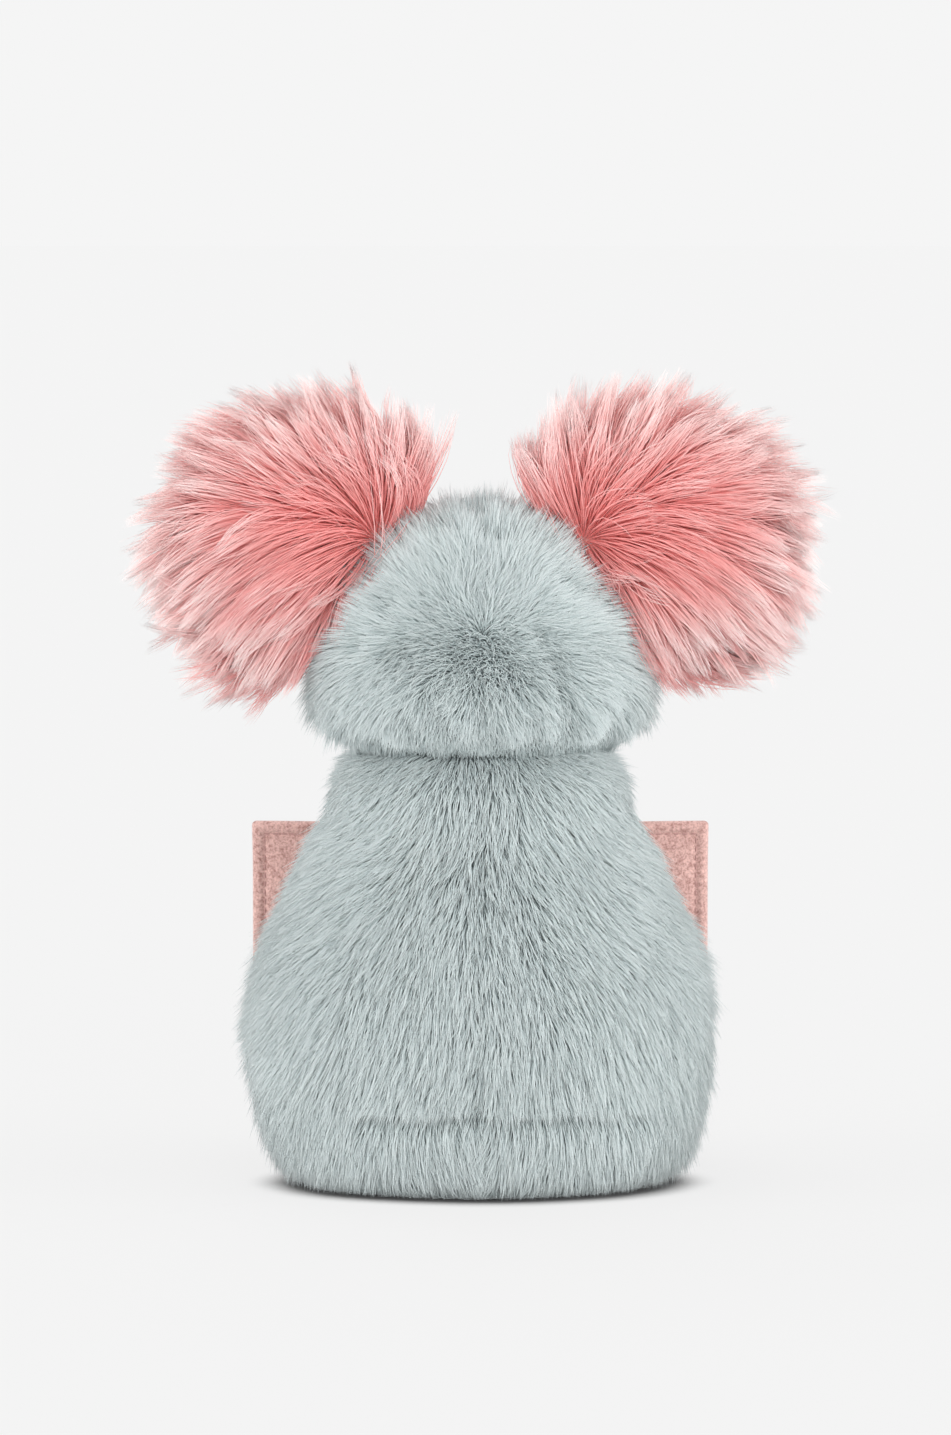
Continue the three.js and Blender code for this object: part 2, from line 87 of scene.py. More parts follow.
# Creases on the back: the middle of each, and how far it reaches to either side.
SEAT_CREASE = (-8 * MM, 52 * MM)
NECK_CREASE = (-4 * MM, 46 * MM)

HEAD_WHORL_Z = 195 * MM  # the fur on the back of the head lies away from this level's middle
NOSE_LOW, NOSE_HIGH = map(np.array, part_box("nose"))
NOSE = (NOSE_LOW + NOSE_HIGH) / 2
NOSE_DEPTH = 12 * MM  # half-depth; the back of the nose is cut flat inside the face
# Where the bead's flat side stands, the way that it faces, and its size, in millimetres.
EYE = {"at": (20.5, -18.4, 202), "facing": (0.31, -0.825, 0.474), "radius": 6}
# A curve's start, middle and end, in millimetres. It lies on the combed fur, behind the CAD's even pile.
MOUTH = [(-9, -26.6, 169), (0, -27.8, 165), (9, -26.6, 169)]

ARM_PIVOT = np.array(JOINTS["arm_left_swing"]["pos_m"])
ARM_SKIN = [  # [radius, distance from the pivot]: down the finger's stall inside, and up the outside
    [0, 31.9], [6.2, 31.5], [8.4, 26], [10.3, 16], [10.5, 4], [10.4, -9.6],
    [10.9, -10.2], [11.4, -9.6], [11.5, 4], [11.2, 16], [9.6, 26], [8.2, 30.5], [6, 32.8], [0, 33]]
ARM_OUTSIDE = 7  # where the outside begins in that list
ARM_BORE = 10.5  # radius of a finger's way into an arm
LEG_ROOT = 8 * MM  # radius of the place on the body that a leg covers
LEG_PIVOT = np.array(JOINTS["leg_left_splay"]["pos_m"])
LEG_ANGLE = math.radians(16)  # the legs point this far outwards
LEG_DIRECTION = np.array([math.sin(LEG_ANGLE), -math.cos(LEG_ANGLE), 0])
LEG_SKIN = [
    [0, -13.5], [6, -13.2], [8.5, -10], [8.8, 12], [9.6, 40], [9.7, 54], [8.8, 59], [6.5, 61.6], [0, 62]]

BOOK_LOW, BOOK_HIGH = (corner.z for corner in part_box("cover_left_outer"))
BOOK_ANGLE = math.radians(10)  # each cover leans this far from flat
BOOK_BACK = np.array([math.sin(BOOK_ANGLE), math.cos(BOOK_ANGLE), 0])  # the left cover's outward way
HINGE = np.array(JOINTS["cover_left_fold"]["pos_m"])
BOOK_EDGE = HINGE[0] + 73 * MM / math.cos(BOOK_ANGLE)  # from the middle to the outer edge, along the cover
SPINE_EDGE, COVER_START = HINGE[0] - 0.8 * MM, HINGE[0] + 1.2 * MM  # the fold lies between them
BOOK_CORNER = 1.6 * MM
STITCH_INSET = 4.6 * MM
PAGE_MARGIN = 4 * MM
PAGE_LEVEL = -5.1 * MM  # the height of a page's middle
PAGE_START = HINGE[0] + 1.5 * MM

EAR_OUT = {  # centre and half-sizes of the outline that the tips reach; the two lie a little differently
    "left": ((66.5, 221), (56, 53.5)),
    "right": ((65.5, 222.5), (54.5, 55.5)),
}
EAR_CORE = {"centre": (57, 217), "half": (33, 10, 30)}
EAR_ROOT = (35, 221)  # the strands fan out from here, at the seam on the head
EAR_FAN = (  # where a strand stands round the root and where it points, in degrees up from outwards
    (-90, -60, -30, 0, 30, 60, 90, 135),
    (-76, -60, -40, -4, 34, 66, 95, 114))
EAR_FALL = np.array([0.45, 0, -0.9])  # the way the long fur drops once it has left the head

BASE_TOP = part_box("base_panel")[1].z
BASE_HALF = 47.7 * MM
HAND_HOLE = (43 * MM, 17 * MM)
BINDING = 2.2 * MM
SLEEVE = [  # [height, half-width, half-depth] of the hand's way in, up to the neck
    [3.3, 43, 17], [55, 41, 17], [80, 42, 17], [102, 44, 17],
    [112, 34, 16.5], [124, 21, 16.5], [132, 17, 17], [139.4, 17, 17]]
LINING = 1.2 * MM

STAGE_WHITE = 0.913  # the room's brightness
FLOOR_HALF = 30  # metres
LIGHTS = (  # name, energy, the way that it shines, and its spread in degrees
    ("key_light", 1.5, (-0.2, 1, 0.05), 50),
    ("left_light", 2.0, (1, 0.3, 0.05), 50),
    ("right_light", 2.0, (-1, 0.3, 0.05), 50),
    ("front_light", 1.0, (0.3, -1, 0.4), 60),
)

# Colours along a strand, from its root to its tip, and the tints that strands are drawn from.
# The dark root colours are painted shade between the strands, and the pale tip colours are partly painted
# light shining through the thin tips.
GREY_FUR_PAINTED_SHADING = [(0, (0.27, 0.31, 0.31)), (0.42, (0.62, 0.69, 0.69)), (1, (0.77, 0.83, 0.83))]
PINK_FUR_PAINTED_SHADING = [
    (0, (0.94, 0.30, 0.285)), (0.42, (0.97, 0.45, 0.435)),
    (0.8, (1.0, 0.79, 0.775)), (1, (1.0, 0.94, 0.93))]
GREY_TINTS = [(0, (0.80, 0.83, 0.84)), (0.5, (0.96, 0.975, 0.97)), (1, (1.0, 1.0, 1.0))]
PINK_TINTS = [(0, (0.94, 0.82, 0.81)), (0.5, (0.99, 0.94, 0.93)), (1, (1.0, 1.0, 1.0))]

SIDES = {"left": 1, "right": -1}
BODY_FILLING = ["body_stuffing_front", "body_stuffing_back"]

STRIPS = 24  # shades of strand, side by side across the fur's UV map
FUR_UV = "OFBake"
MOST_TRIANGLES = 190_000  # in one mesh of strands
THIN_OUT = 1.0


def random_for(name):
    """Each piece draws its own numbers, so that a change to one piece leaves the others alone."""
    return np.random.default_rng(zlib.crc32(name.encode()))


# ---------------- small vector helpers


def unit(vectors):
    """The vectors at length 1."""
    return vectors / np.maximum(np.linalg.norm(vectors, axis=-1, keepdims=True), 1e-12)


def flat_on(vectors, normals):
    """The vectors without their part along the normals, at length 1."""
    return unit(vectors - (vectors * normals).sum(-1, keepdims=True) * normals)


def ramp(x, low, high):
    """0 below low, 1 above high, and smooth between them."""
    t = np.clip((x - low) / (high - low), 0, 1)
    return t * t * (3 - 2 * t)


def drift(points, wavelength, seed):
    """Smooth noise between about -1 and 1, as three numbers for each point."""
    rng = np.random.default_rng(seed)
    waves = rng.normal(size=(3, 6, 3)) / wavelength
    phases = rng.uniform(0, 2 * math.pi, (3, 6))
    total = np.sin(np.einsum("pk,dwk->pdw", points, waves * 2) + phases).sum(-1)
    return total / 2.5


def spokes(side, front, count, start=0.0):
    """Even directions round a line, in the plane of two others."""
    turn = np.arange(count) * 2 * math.pi / count + start
    return side[..., None, :] * np.cos(turn)[:, None] + front[..., None, :] * np.sin(turn)[:, None]


def smooth_outline(points, count=240):
    """An even run of points on a Catmull-Rom curve, in metres."""
    points = np.array(points, float) * MM
    ends = np.vstack([points[:1], points, points[-1:]])
    t = np.linspace(0, 1, 40, endpoint=False)[:, None]
    runs = []
    for a, b, c, d in zip(ends, ends[1:], ends[2:], ends[3:]):
        start, stop = (c - a) / 2, (d - b) / 2
        runs.append((2 * b - 2 * c + start + stop) * t**3
                    + (-3 * b + 3 * c - 2 * start - stop) * t**2 + start * t + b)
    dense = np.vstack(runs + [points[-1:]])
    travelled = np.append(0, np.cumsum(np.linalg.norm(np.diff(dense, axis=0), axis=1)))
    even = np.linspace(0, travelled[-1], count)
    return np.stack([np.interp(even, travelled, dense[:, k]) for k in (0, 1)], axis=1)


# ---------------- turned forms


class Turned:
    """A form turned about an axis. Its outline is [radius, height], and its depth a share of its width."""

    def __init__(self, outline, depth=1.0, origin=(0, 0, 0), across=(1, 0, 0), along=(0, 0, 1)):
        self.radius, self.height = np.array(outline).T
        self.depth = depth
        self.origin = np.array(origin, float)
        self.across = unit(np.array(across, float))
        self.along = unit(np.array(along, float))
        self.deep = np.cross(self.along, self.across)
        steps = np.hypot(np.diff(self.radius), np.diff(self.height))
        self.travel = np.append(0, np.cumsum(steps))
        self.length = self.travel[-1]

    def _to_world(self, x, y, z):
        return x[..., None] * self.across + y[..., None] * self.deep + z[..., None] * self.along

    def at(self, s, theta):
        """Points, outward normals and the direction up the outline, at distances s along it."""
        radius = np.interp(s, self.travel, self.radius)
        height = np.interp(s, self.travel, self.height)
        reach = self.length * 0.004
        high, low = np.minimum(s + reach, self.length), np.maximum(s - reach, 0)
        grow = np.interp(high, self.travel, self.radius) - np.interp(low, self.travel, self.radius)
        rise = np.interp(high, self.travel, self.height) - np.interp(low, self.travel, self.height)
        c, d = np.cos(theta), np.sin(theta)
        points = self.origin + self._to_world(radius * c, self.depth * radius * d, height)
        up = unit(self._to_world(grow * c, self.depth * grow * d, rise))
        round_ = unit(self._to_world(-d, self.depth * c, d * 0))
        return points, unit(np.cross(round_, up)), up

    def scatter(self, rng, spacing):
        """Even but irregular places all over the form, as (s, theta)."""
        rows = max(int(self.length / spacing), 1)
        places = []
        for row in range(rows):
            s = (row + 0.5) * self.length / rows
            radius = np.interp(s, self.travel, self.radius)
            count = int(math.pi * radius * (1 + self.depth) / spacing)
            if count:
                theta = (np.arange(count) + rng.uniform(0, 1, count)) / count * 2 * math.pi
                jitter = rng.uniform(-0.5, 0.5, count) * self.length / rows
                places.append(np.stack([s + jitter, theta + rng.uniform(0, 6)], axis=1))
        return np.vstack(places).T

    def grid(self, s, theta):
        """A grid of points: one row for each s, with its own run of theta."""
        return self.at(np.repeat(s[:, None], theta.shape[1], 1), theta)[0]


# ---------------- meshes from arrays


def volume(points, faces):
    """What closed faces hold. It is below zero where they face inwards."""
    first = points[faces[:, 0]]
    return sum(
        np.einsum("ij,ij->", first, np.cross(points[faces[:, k]], points[faces[:, k + 1]]))
        for k in range(1, faces.shape[1] - 1)) / 6


def mesh_object(name, points, faces, smooth=True):
    """An object from points and equal-sided faces, as arrays. Closed faces are turned outwards."""
    mesh = bpy.data.meshes.new(name)
    points = np.asarray(points, float).reshape(-1, 3)
    faces = np.asarray(faces, np.int32).reshape(-1, np.shape(faces)[-1])
    if volume(points, faces) < 0:
        faces = faces[:, ::-1]
    mesh.vertices.add(len(points))
    mesh.vertices.foreach_set("co", points.astype(np.float32).ravel())
    mesh.loops.add(faces.size)
    mesh.loops.foreach_set("vertex_index", faces.ravel())
    mesh.polygons.add(len(faces))
    mesh.polygons.foreach_set("loop_start", np.arange(0, faces.size, faces.shape[1], dtype=np.int32))
    mesh.polygons.foreach_set("use_smooth", np.full(len(faces), smooth))
    mesh.update(calc_edges=True)
    piece = bpy.data.objects.new(name, mesh)
    bpy.context.scene.collection.objects.link(piece)
    return piece


def grid_faces(rows, columns, wrap=False, close=False, start=0):
    """Quads over a grid of points. Its columns join round if it wraps, and its rows if it closes."""
    row = np.arange(rows if close else rows - 1)[:, None] * columns
    column = np.arange(columns if wrap else columns - 1)
    next_row, next_column = (row + columns) % (rows * columns), (column + 1) % columns
    corners = [row + column, row + next_column, next_row + next_column, next_row + column]
    return np.stack(corners, -1).reshape(-1, 4) + start


def shell(name, outer, inner):
    """A closed cloth from two grids of the same size, its outer and inner faces."""
    rows, columns = outer.shape[:2]
    count = rows * columns
    front = grid_faces(rows, columns)
    back = grid_faces(rows, columns, start=count)[:, ::-1]
    index = np.arange(count).reshape(rows, columns)
    rim = np.concatenate([index[0, :-1], index[:-1, -1], index[-1, :0:-1], index[:0:-1, 0]])
    after = np.roll(rim, -1)
    edge = np.stack([after, rim, rim + count, after + count], -1)
    return mesh_object(name, np.stack([outer, inner]), np.vstack([front, back, edge]))


def ring_cloth(name, outer, inner):
    """A closed band from two grids that join round, its outer and inner faces."""
    loop = np.concatenate([outer, inner[::-1]])
    return mesh_object(name, loop, grid_faces(*loop.shape[:2], wrap=True, close=True))


def lofts(name, rings):
    """Closed forms from rings of points, in an array of [form, ring, point, xyz]."""
    count, rows, columns = rings.shape[:3]
    ends = rings[:, [0, -1]].mean(axis=2)
    points = np.concatenate([rings.reshape(count, -1, 3), ends], axis=1)
    sides = grid_faces(rows, columns, wrap=True)
    a = np.arange(columns)
    b = (a + 1) % columns
    top = (rows - 1) * columns
    low, high = a * 0 + rows * columns, a * 0 + rows * columns + 1
    low_end, high_end = np.stack([b, a, low], -1), np.stack([a + top, b + top, high], -1)
    one = np.vstack([sides[:, [0, 1, 2]], sides[:, [0, 2, 3]], low_end, high_end])
    faces = one[None] + np.arange(count)[:, None, None] * points.shape[1]
    return mesh_object(name, points, faces)


def turned_solid(name, form, rows=36, columns=40, sign=1):
    """A turned form as a closed mesh, mirrored for the right side."""
    s = form.length * np.linspace(0.002, 0.998, rows)
    theta = np.broadcast_to(np.linspace(0, 2 * math.pi, columns, endpoint=False), (rows, columns))
    return lofts(name, (form.grid(s, theta) * (sign, 1, 1))[None])


def cut(piece, cutter):
    """Takes the cutter's space out of a piece, and then removes the cutter."""
    modifier = piece.modifiers.new("cut", "BOOLEAN")
    modifier.object = cutter
    seen = piece.evaluated_get(bpy.context.evaluated_depsgraph_get())
    result = bpy.data.meshes.new_from_object(seen)
    piece.modifiers.clear()
    piece.data = result
    bpy.data.objects.remove(cutter)


# ---------------- materials


class Look:
    """A Principled material in the making. Its methods add nodes, and give an output to link from."""

    def __init__(self, name, color, roughness=0.8, **sockets):
        self.made = bpy.data.materials.new(name)
        self.made.use_nodes = True
        self.tree = self.made.node_tree
        self.shader = self.tree.nodes["Principled BSDF"]
        self.shader.inputs["Base Color"].default_value = (*color, 1)
        self.shader.inputs["Roughness"].default_value = roughness
        for socket, value in sockets.items():
            self.shader.inputs[socket.replace("_", " ")].default_value = value

    def node(self, kind, output=0, settings=None, **inputs):
        """A new node's output. An input is a value or an output; i6 stands for the input number 6."""
        node = self.tree.nodes.new("ShaderNode" + kind)
        for key, value in (settings or {}).items():
            setattr(node, key, value)
        for key, value in inputs.items():
            socket = node.inputs[int(key[1:]) if key[1:].isdigit() else key.replace("_", " ")]
            if isinstance(value, bpy.types.NodeSocket):
                self.tree.links.new(value, socket)
            else:
                socket.default_value = value
        return node.outputs[output]

    def texture(self, kind, output, settings=None, **inputs):
        """A texture over the object's own space."""
        return self.node(kind, output, settings, Vector=self.node("TexCoord", "Object"), **inputs)

    def compute(self, operation, a, b=0.0):
        return self.node("Math", 0, {"operation": operation}, i0=a, i1=b)

    def stops(self, fac, stops):
        """Colours along a ramp."""
        output = self.node("ValToRGB", "Color", Fac=fac)
        elements = output.node.color_ramp.elements
        while len(elements) < len(stops):
            elements.new(0.5)
        for element, (place, color) in zip(elements, stops):
            element.position = place
            element.color = (*color, 1)
        return output

    def mix(self, fac, a, b, kind="MIX"):
        return self.node("Mix", 2, {"data_type": "RGBA", "blend_type": kind}, i0=fac, i6=a, i7=b)

    def paint(self, color, over=None, socket="Base Color"):
        """Links a colour, times another where there is one, and gives the finished material."""
        if over:
            color = self.mix(1.0, color, over, "MULTIPLY")
        self.tree.links.new(color, self.shader.inputs[socket])
        return self.made

    def bump(self, height, strength, depth_mm):
        normal = self.node("Bump", "Normal", Strength=strength, Distance=depth_mm * MM, Height=height)
        self.tree.links.new(normal, self.shader.inputs["Normal"])


def darker(color, share):
    return tuple(c * share for c in color)


def fur_material(name, shades, tints, sheen=0.18):
    """Strand colour runs up the UV map from root to tip, painted shade at the dark roots and partly
    painted light at the pale tips; each strip across it has its own tint.
    """
    look = Look(
        name, shades[1][1], 0.62, Sheen_Weight=sheen, Sheen_Roughness=0.45, Specular_IOR_Level=0.28)
    split = look.node("SeparateXYZ", "X", Vector=look.node("UVMap", "UV", {"uv_map": FUR_UV})).node
    along = look.stops(split.outputs["Y"], shades)
    strip = look.compute("FLOOR", look.compute("MULTIPLY", split.outputs["X"], STRIPS))
    noise = look.node("TexWhiteNoise", "Value", {"noise_dimensions": "1D"}, W=strip)
    return look.paint(along, look.stops(noise, tints))


def cloth_material(name, color, thread_mm, dark=0.72, depth=0.12, roughness=0.9):
    """Plain woven cloth: threads that cross at right angles, a little uneven in colour."""
    look = Look(name, color, roughness, Sheen_Weight=0.15)
    uneven = look.texture("TexNoise", "Fac", Scale=90.0, Detail=3.0)
    threads = math.pi / 20 / (thread_mm * MM)
    bands = [
        look.texture("TexWave", "Fac", {"bands_direction": way}, Scale=threads, Distortion=1.2, Detail=1.0,
                     Detail_Scale=2.0)
        for way in ("X", "Z")]
    weave = look.compute("MULTIPLY", *bands)
    look.bump(weave, 0.5, depth)
    woven = look.stops(weave, [(0, darker(color, dark)), (0.6, color)])
    return look.paint(woven, look.stops(uneven, [(0.3, (0.9, 0.9, 0.9)), (0.7, (1, 1, 1))]))


def suede_material(name, color):
    """Brushed suede cloth: a fine speckled nap with soft darker and lighter patches."""
    look = Look(name, color, 0.92, Sheen_Weight=0.45, Sheen_Roughness=0.5, Specular_IOR_Level=0.2)
    speckle = look.texture("TexNoise", "Fac", Scale=1300.0, Detail=2.0)
    grain = look.texture("TexNoise", "Fac", Scale=520.0, Detail=4.0, Roughness=0.65)
    patches = look.texture("TexNoise", "Fac", Scale=55.0, Detail=3.0)
    look.bump(grain, 0.55, 0.25)
    dark = tuple(c * k for c, k in zip(color, (0.56, 0.44, 0.42)))
    light = tuple(min(c * 1.22 + 0.05, 1) for c in color)
    fine = look.stops(speckle, [(0.34, dark), (0.5, color), (0.64, light)])
    coarse = look.stops(grain, [(0.36, dark), (0.52, color), (0.68, light)])
    brushed = look.stops(patches, [(0.3, (0.9, 0.88, 0.88)), (0.7, (1, 1, 1))])
    return look.paint(look.mix(0.5, fine, coarse), brushed)


def fibre_material(name, color, scale):
    """Loose fibres: wadding, looped tape and brushed backing."""
    look = Look(name, color, 0.95, Sheen_Weight=0.2)
    fibres = look.texture("TexNoise", "Fac", Scale=scale, Detail=6.0, Roughness=0.7, Distortion=1.5)
    look.bump(fibres, 0.8, 0.5)
    return look.paint(look.stops(fibres, [(0.35, darker(color, 0.6)), (0.6, color)]))


def leather_material(name, color):
    """Soft leather cloth with a pebbled grain."""
    look = Look(name, color, 0.42, Coat_Weight=0.15, Coat_Roughness=0.35)
    cells = look.texture("TexVoronoi", "Distance", {"feature": "DISTANCE_TO_EDGE"}, Scale=900.0)
    grain = look.stops(cells, [(0, (0, 0, 0)), (0.25, (1, 1, 1))])
    look.bump(grain, 0.5, 0.15)
    return look.paint(look.mix(grain, (*darker(color, 0.55), 1), (*color, 1)))


def plastic_material(name, color, roughness):
    """Moulded plastic with faint polishing marks."""
    look = Look(name, color, roughness, Coat_Weight=0.6, Coat_Roughness=0.04)
    marks = look.texture("TexNoise", "Fac", Scale=300.0, Detail=3.0)
    lighter = tuple(c * 1.6 + 0.002 for c in color)
    return look.paint(look.stops(marks, [(0.4, color), (0.8, lighter)]))


LOOKS = {
    "grey_fur": fur_material("grey_fur", GREY_FUR_PAINTED_SHADING, GREY_TINTS),
    "pink_fur": fur_material("pink_fur", PINK_FUR_PAINTED_SHADING, PINK_TINTS, sheen=0.1),
    # The backing cloths are coloured as dark as the strands' roots: painted shade that shows between the
    # strands.
    "grey_backing": fibre_material("grey_backing", (0.22, 0.25, 0.255), 900.0),
    "pink_backing": fibre_material("pink_backing", (0.90, 0.36, 0.33), 900.0),
    "book_suede": suede_material("book_suede", (0.65, 0.41, 0.37)),
    "base_suede": suede_material("base_suede", (0.42, 0.46, 0.46)),
    "paw_suede": suede_material("paw_suede", (0.68, 0.40, 0.37)),
    "lining_cloth": cloth_material("lining_cloth", (0.62, 0.60, 0.57), 0.7),
    "page_cloth": cloth_material("page_cloth", (0.82, 0.78, 0.70), 0.4, dark=0.84),
    "wadding": fibre_material("wadding", (0.86, 0.85, 0.82), 260.0),
    "hook_and_loop": fibre_material("hook_and_loop", (0.70, 0.50, 0.47), 1400.0),
    "nose_leather": leather_material("nose_leather", (0.085, 0.072, 0.078)),
    "eye_plastic": plastic_material("eye_plastic", (0.012, 0.009, 0.010), 0.06),
    "washer_plastic": plastic_material("washer_plastic", (0.60, 0.60, 0.58), 0.4),
    "thread": cloth_material("thread", (0.66, 0.38, 0.35), 0.25),
    "dark_thread": cloth_material("dark_thread", (0.06, 0.05, 0.055), 0.25),
}


def finish_piece(piece, look, body=None, replaces=()):
    """Gives a piece its material, body and the CAD nodes that it stands for."""
    piece.data.materials.clear()
    piece.data.materials.append(LOOKS[look])
    if body:
        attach(piece, body)
    if replaces:
        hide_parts(*replaces)
    return piece


# ---------------- fur


def coat(**changes):
    """How a fur grows. Lengths are in millimetres, and lifts are degrees between strand and cloth."""
    made = {
        "length": 13, "uneven": 0.2, "lift": (58, 18), "width": 0.38, "spacing": 0.76, "levels": 3,
        "lock": 2.0, "pull": 0.34, "gather": 1.8, "sway": 11, "frizz": 0.45, "drift": 9,
        "round_share": 0.6,
    }
    made.update(changes)
    return made


BODY_COAT = coat(lift=(55, 17))
LIMB_COAT = coat(length=8, lift=(42, 10), spacing=0.8)
EAR_COAT = coat(
    length=38, uneven=0.12, lift=(44, 8), spacing=0.78, width=0.44, levels=7, lock=3.4, pull=0.94,
    gather=1.4, sway=6, frizz=0.8, drift=8, round_share=0.8)


def turn_in_plane(flow, normals, degrees):
    """The flow, turned about the normals."""
    angle = np.radians(degrees)[:, None]
    return flow * np.cos(angle) + np.cross(normals, flow) * np.sin(angle)


def strand_lines(roots, normals, flow, length, lift, levels, bend=None):
    """Points along each strand. It leaves the cloth steeply and bends over along the flow."""
    steps = np.arange(levels - 1)
    share = (steps + 0.5) / (levels - 1)
    low, high = lift
    angle = np.radians(low[:, None] + (high - low)[:, None] * share)
    headings = np.cos(angle)[..., None] * flow[:, None] + np.sin(angle)[..., None] * normals[:, None]
    if bend is not None:
        headings = unit(headings + bend[:, None] * share[None, :, None] ** 1.2)
    moves = headings * (length / (levels - 1))[:, None, None]
    return np.concatenate([roots[:, None], roots[:, None] + np.cumsum(moves, axis=1)], axis=1)


def nearest(centres, points):
    """For each point, the number of the nearest centre."""
    tree = kdtree.KDTree(len(centres))
    for number, centre in enumerate(centres):
        tree.insert(centre, number)
    tree.balance()
    return np.array([tree.find(point)[1] for point in points])


def gather(lines, rng, count, pull, power):
    """Draws strands together towards guide strands among them, more so towards the tips."""
    guides = rng.choice(len(lines), count, replace=False)
    guide = guides[nearest(lines[guides, 0], lines[:, 0])]
    share = np.reshape(pull, (-1, 1)) * np.linspace(0, 1, lines.shape[1]) ** power
    return lines + share[..., None] * (lines[guide] - lines)


def grow(name, roots, normals, flow, kind, scale=1.0, bend=None, stand=0.0, pull=1.0, shade=(0, 1)):
    """Strand lines for a coat of fur, with their widths and colours.

    Strands stand up by extra degrees, and are drawn together by a share of the coat's own pull. Their
    shade is where they start and stop on the way from the root's colour, painted shade, to the tip's,
    partly painted light.
    """
    rng = random_for(name)
    count = len(roots)
    length = kind["length"] * MM * scale * (1 + kind["uneven"] * rng.normal(size=count).clip(-2, 2))
    wander = drift(roots, 22 * MM, 3)
    lean = kind["drift"] * wander[:, 0] + rng.normal(0, kind["sway"], count)
    heading = turn_in_plane(flow, normals, lean)
    rise = 7 * wander[:, 1] + rng.normal(0, 7, count) + stand
    lift = (kind["lift"][0] + rise).clip(15, 85), (kind["lift"][1] + rise).clip(-10, 80)
    lines = strand_lines(roots, normals, heading, length, lift, kind["levels"], bend)
    locks = max(int(count * (kind["spacing"] * THIN_OUT / kind["lock"]) ** 2), 1)
    lines = gather(lines, rng, max(locks // 7, 1), kind["pull"] * 0.3 * pull, kind["gather"])
    lines = gather(lines, rng, locks, kind["pull"] * pull, kind["gather"])
    amount = np.linspace(0, 1, kind["levels"])[None, :, None] * kind["frizz"] * MM
    lines = lines + rng.normal(size=(count, 1, 3)) * amount + rng.normal(size=lines.shape) * amount * 0.35
    lines[:, :, 2] = np.maximum(lines[:, :, 2], FLOOR_GAP + 0.6 * MM * rng.uniform(size=(count, 1)))
    width = kind["width"] * MM * rng.uniform(0.75, 1.25, count) * THIN_OUT**0.5
    start, stop = (np.broadcast_to(end, count) for end in shade)
    return {"lines": lines, "normals": normals, "width": width, "start": start, "stop": stop,
            "strip": rng.integers(0, STRIPS, count)}


def strand_faces(rings):
    """The triangles of one strand: a closed end, three sides up its rings, and a tip."""
    faces = [[2, 1, 0]]
    for ring in range(rings - 1):
        for corner in range(3):
            a, b = ring * 3 + corner, ring * 3 + (corner + 1) % 3
            faces += [[a, b, b + 3], [a, b + 3, a + 3]]
    last, tip = (rings - 1) * 3, rings * 3
    faces += [[last + corner, last + (corner + 1) % 3, tip] for corner in range(3)]
    return np.array(faces)


def strands_object(name, fur, chosen, look, round_share):
    """The chosen strands as one mesh: each strand is a slim closed cone with three sides."""
    lines, normals = fur["lines"][chosen], fur["normals"][chosen]
    width, strip = fur["width"][chosen], fur["strip"][chosen]
    count, levels, _ = lines.shape
    rings = levels - 1
    along = unit(np.gradient(lines, axis=1))[:, :rings]
    side = unit(np.cross(along, normals[:, None] + 1e-4))
    front = np.cross(along, side)
    share = np.arange(rings) / rings
    radius = width[:, None] / 2 * (1 - share[None] ** 1.6 * 0.85)
    spoke = spokes(side, front, 3, math.pi / 2)
    tube = lines[:, :rings, None] + spoke * radius[:, :, None, None]
    points = np.concatenate([tube.reshape(count, -1, 3), lines[:, -1:]], axis=1)
    shade = unit(spoke * round_share + normals[:, None, None] * (1 - round_share))
    tip_shade = unit(normals + along[:, -1] * 0.3)
    shades = np.concatenate([shade.reshape(count, -1, 3), tip_shade[:, None]], axis=1)

    one = strand_faces(rings)
    faces = one[None] + np.arange(count)[:, None, None] * points.shape[1]
    piece = mesh_object(name, points, faces)

    across = np.append(np.tile([0.15, 0.5, 0.85], rings), 0.5)
    up = np.append(np.repeat(share, 3), 1.0)[one.ravel()]
    start, stop = fur["start"][chosen, None], fur["stop"][chosen, None]
    u = (strip[:, None] + across[one.ravel()]) / STRIPS
    v = 0.02 + 0.96 * (start + (stop - start) * up)
    layer = piece.data.uv_layers.new(name=FUR_UV)
    layer.data.foreach_set("uv", np.stack([u, v], -1).astype(np.float32).ravel())
    piece.data.normals_split_custom_set_from_vertices(shades.reshape(-1, 3))
    return finish_piece(piece, look)


def mirror_fur(fur, sign):
    """Turns a left side's fur into the right side's, in place."""
    for part in ("lines", "normals"):
        fur[part] = fur[part] * (sign, 1, 1)


def add_fur(name, fur, chosen, kind, body, look="grey_fur"):
    """The chosen strands on a body, as one object, or as a few where they are many."""
    numbers = np.flatnonzero(chosen)
    numbers = numbers[np.argsort(fur["lines"][numbers, 0, 2], kind="stable")]
    triangles = len(numbers) * (6 * (kind["levels"] - 2) + 4)
    parts = np.array_split(numbers, triangles // MOST_TRIANGLES + 1)
    for number, part in enumerate(parts, 1):
        label = name if len(parts) == 1 else f"{name}_{number}"
        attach(strands_object(label, fur, part, look, kind["round_share"]), body)


# ---------------- body and head


def torso_form(inset):
    """The torso's outline, drawn in at the sides by an inset in millimetres."""
    outline = [[r - inset, z] for r, z in TORSO_OUTLINE]
    return Turned(smooth_outline(outline), TORSO_DEPTH, (0, HAND_Y, 0))


def head_form(inset):
    """The head's outline, drawn in towards the neck by an inset in millimetres."""
    low = NECK_Z / MM
    widest, height = max(r for r, z in HEAD_OUTLINE), HEAD_OUTLINE[-1][1] - low
    across, up = (widest - inset) / widest, (height - inset) / height
    outline = [[r * across, low + (z - low) * up] for r, z in HEAD_OUTLINE]
    return Turned(smooth_outline(outline), HEAD_DEPTH, (0, HAND_Y, 0))


TORSO, TORSO_INNER = torso_form(INSIDE / MM), torso_form(PILE / MM)
HEAD, HEAD_INNER = head_form(INSIDE / MM), head_form(PILE / MM)


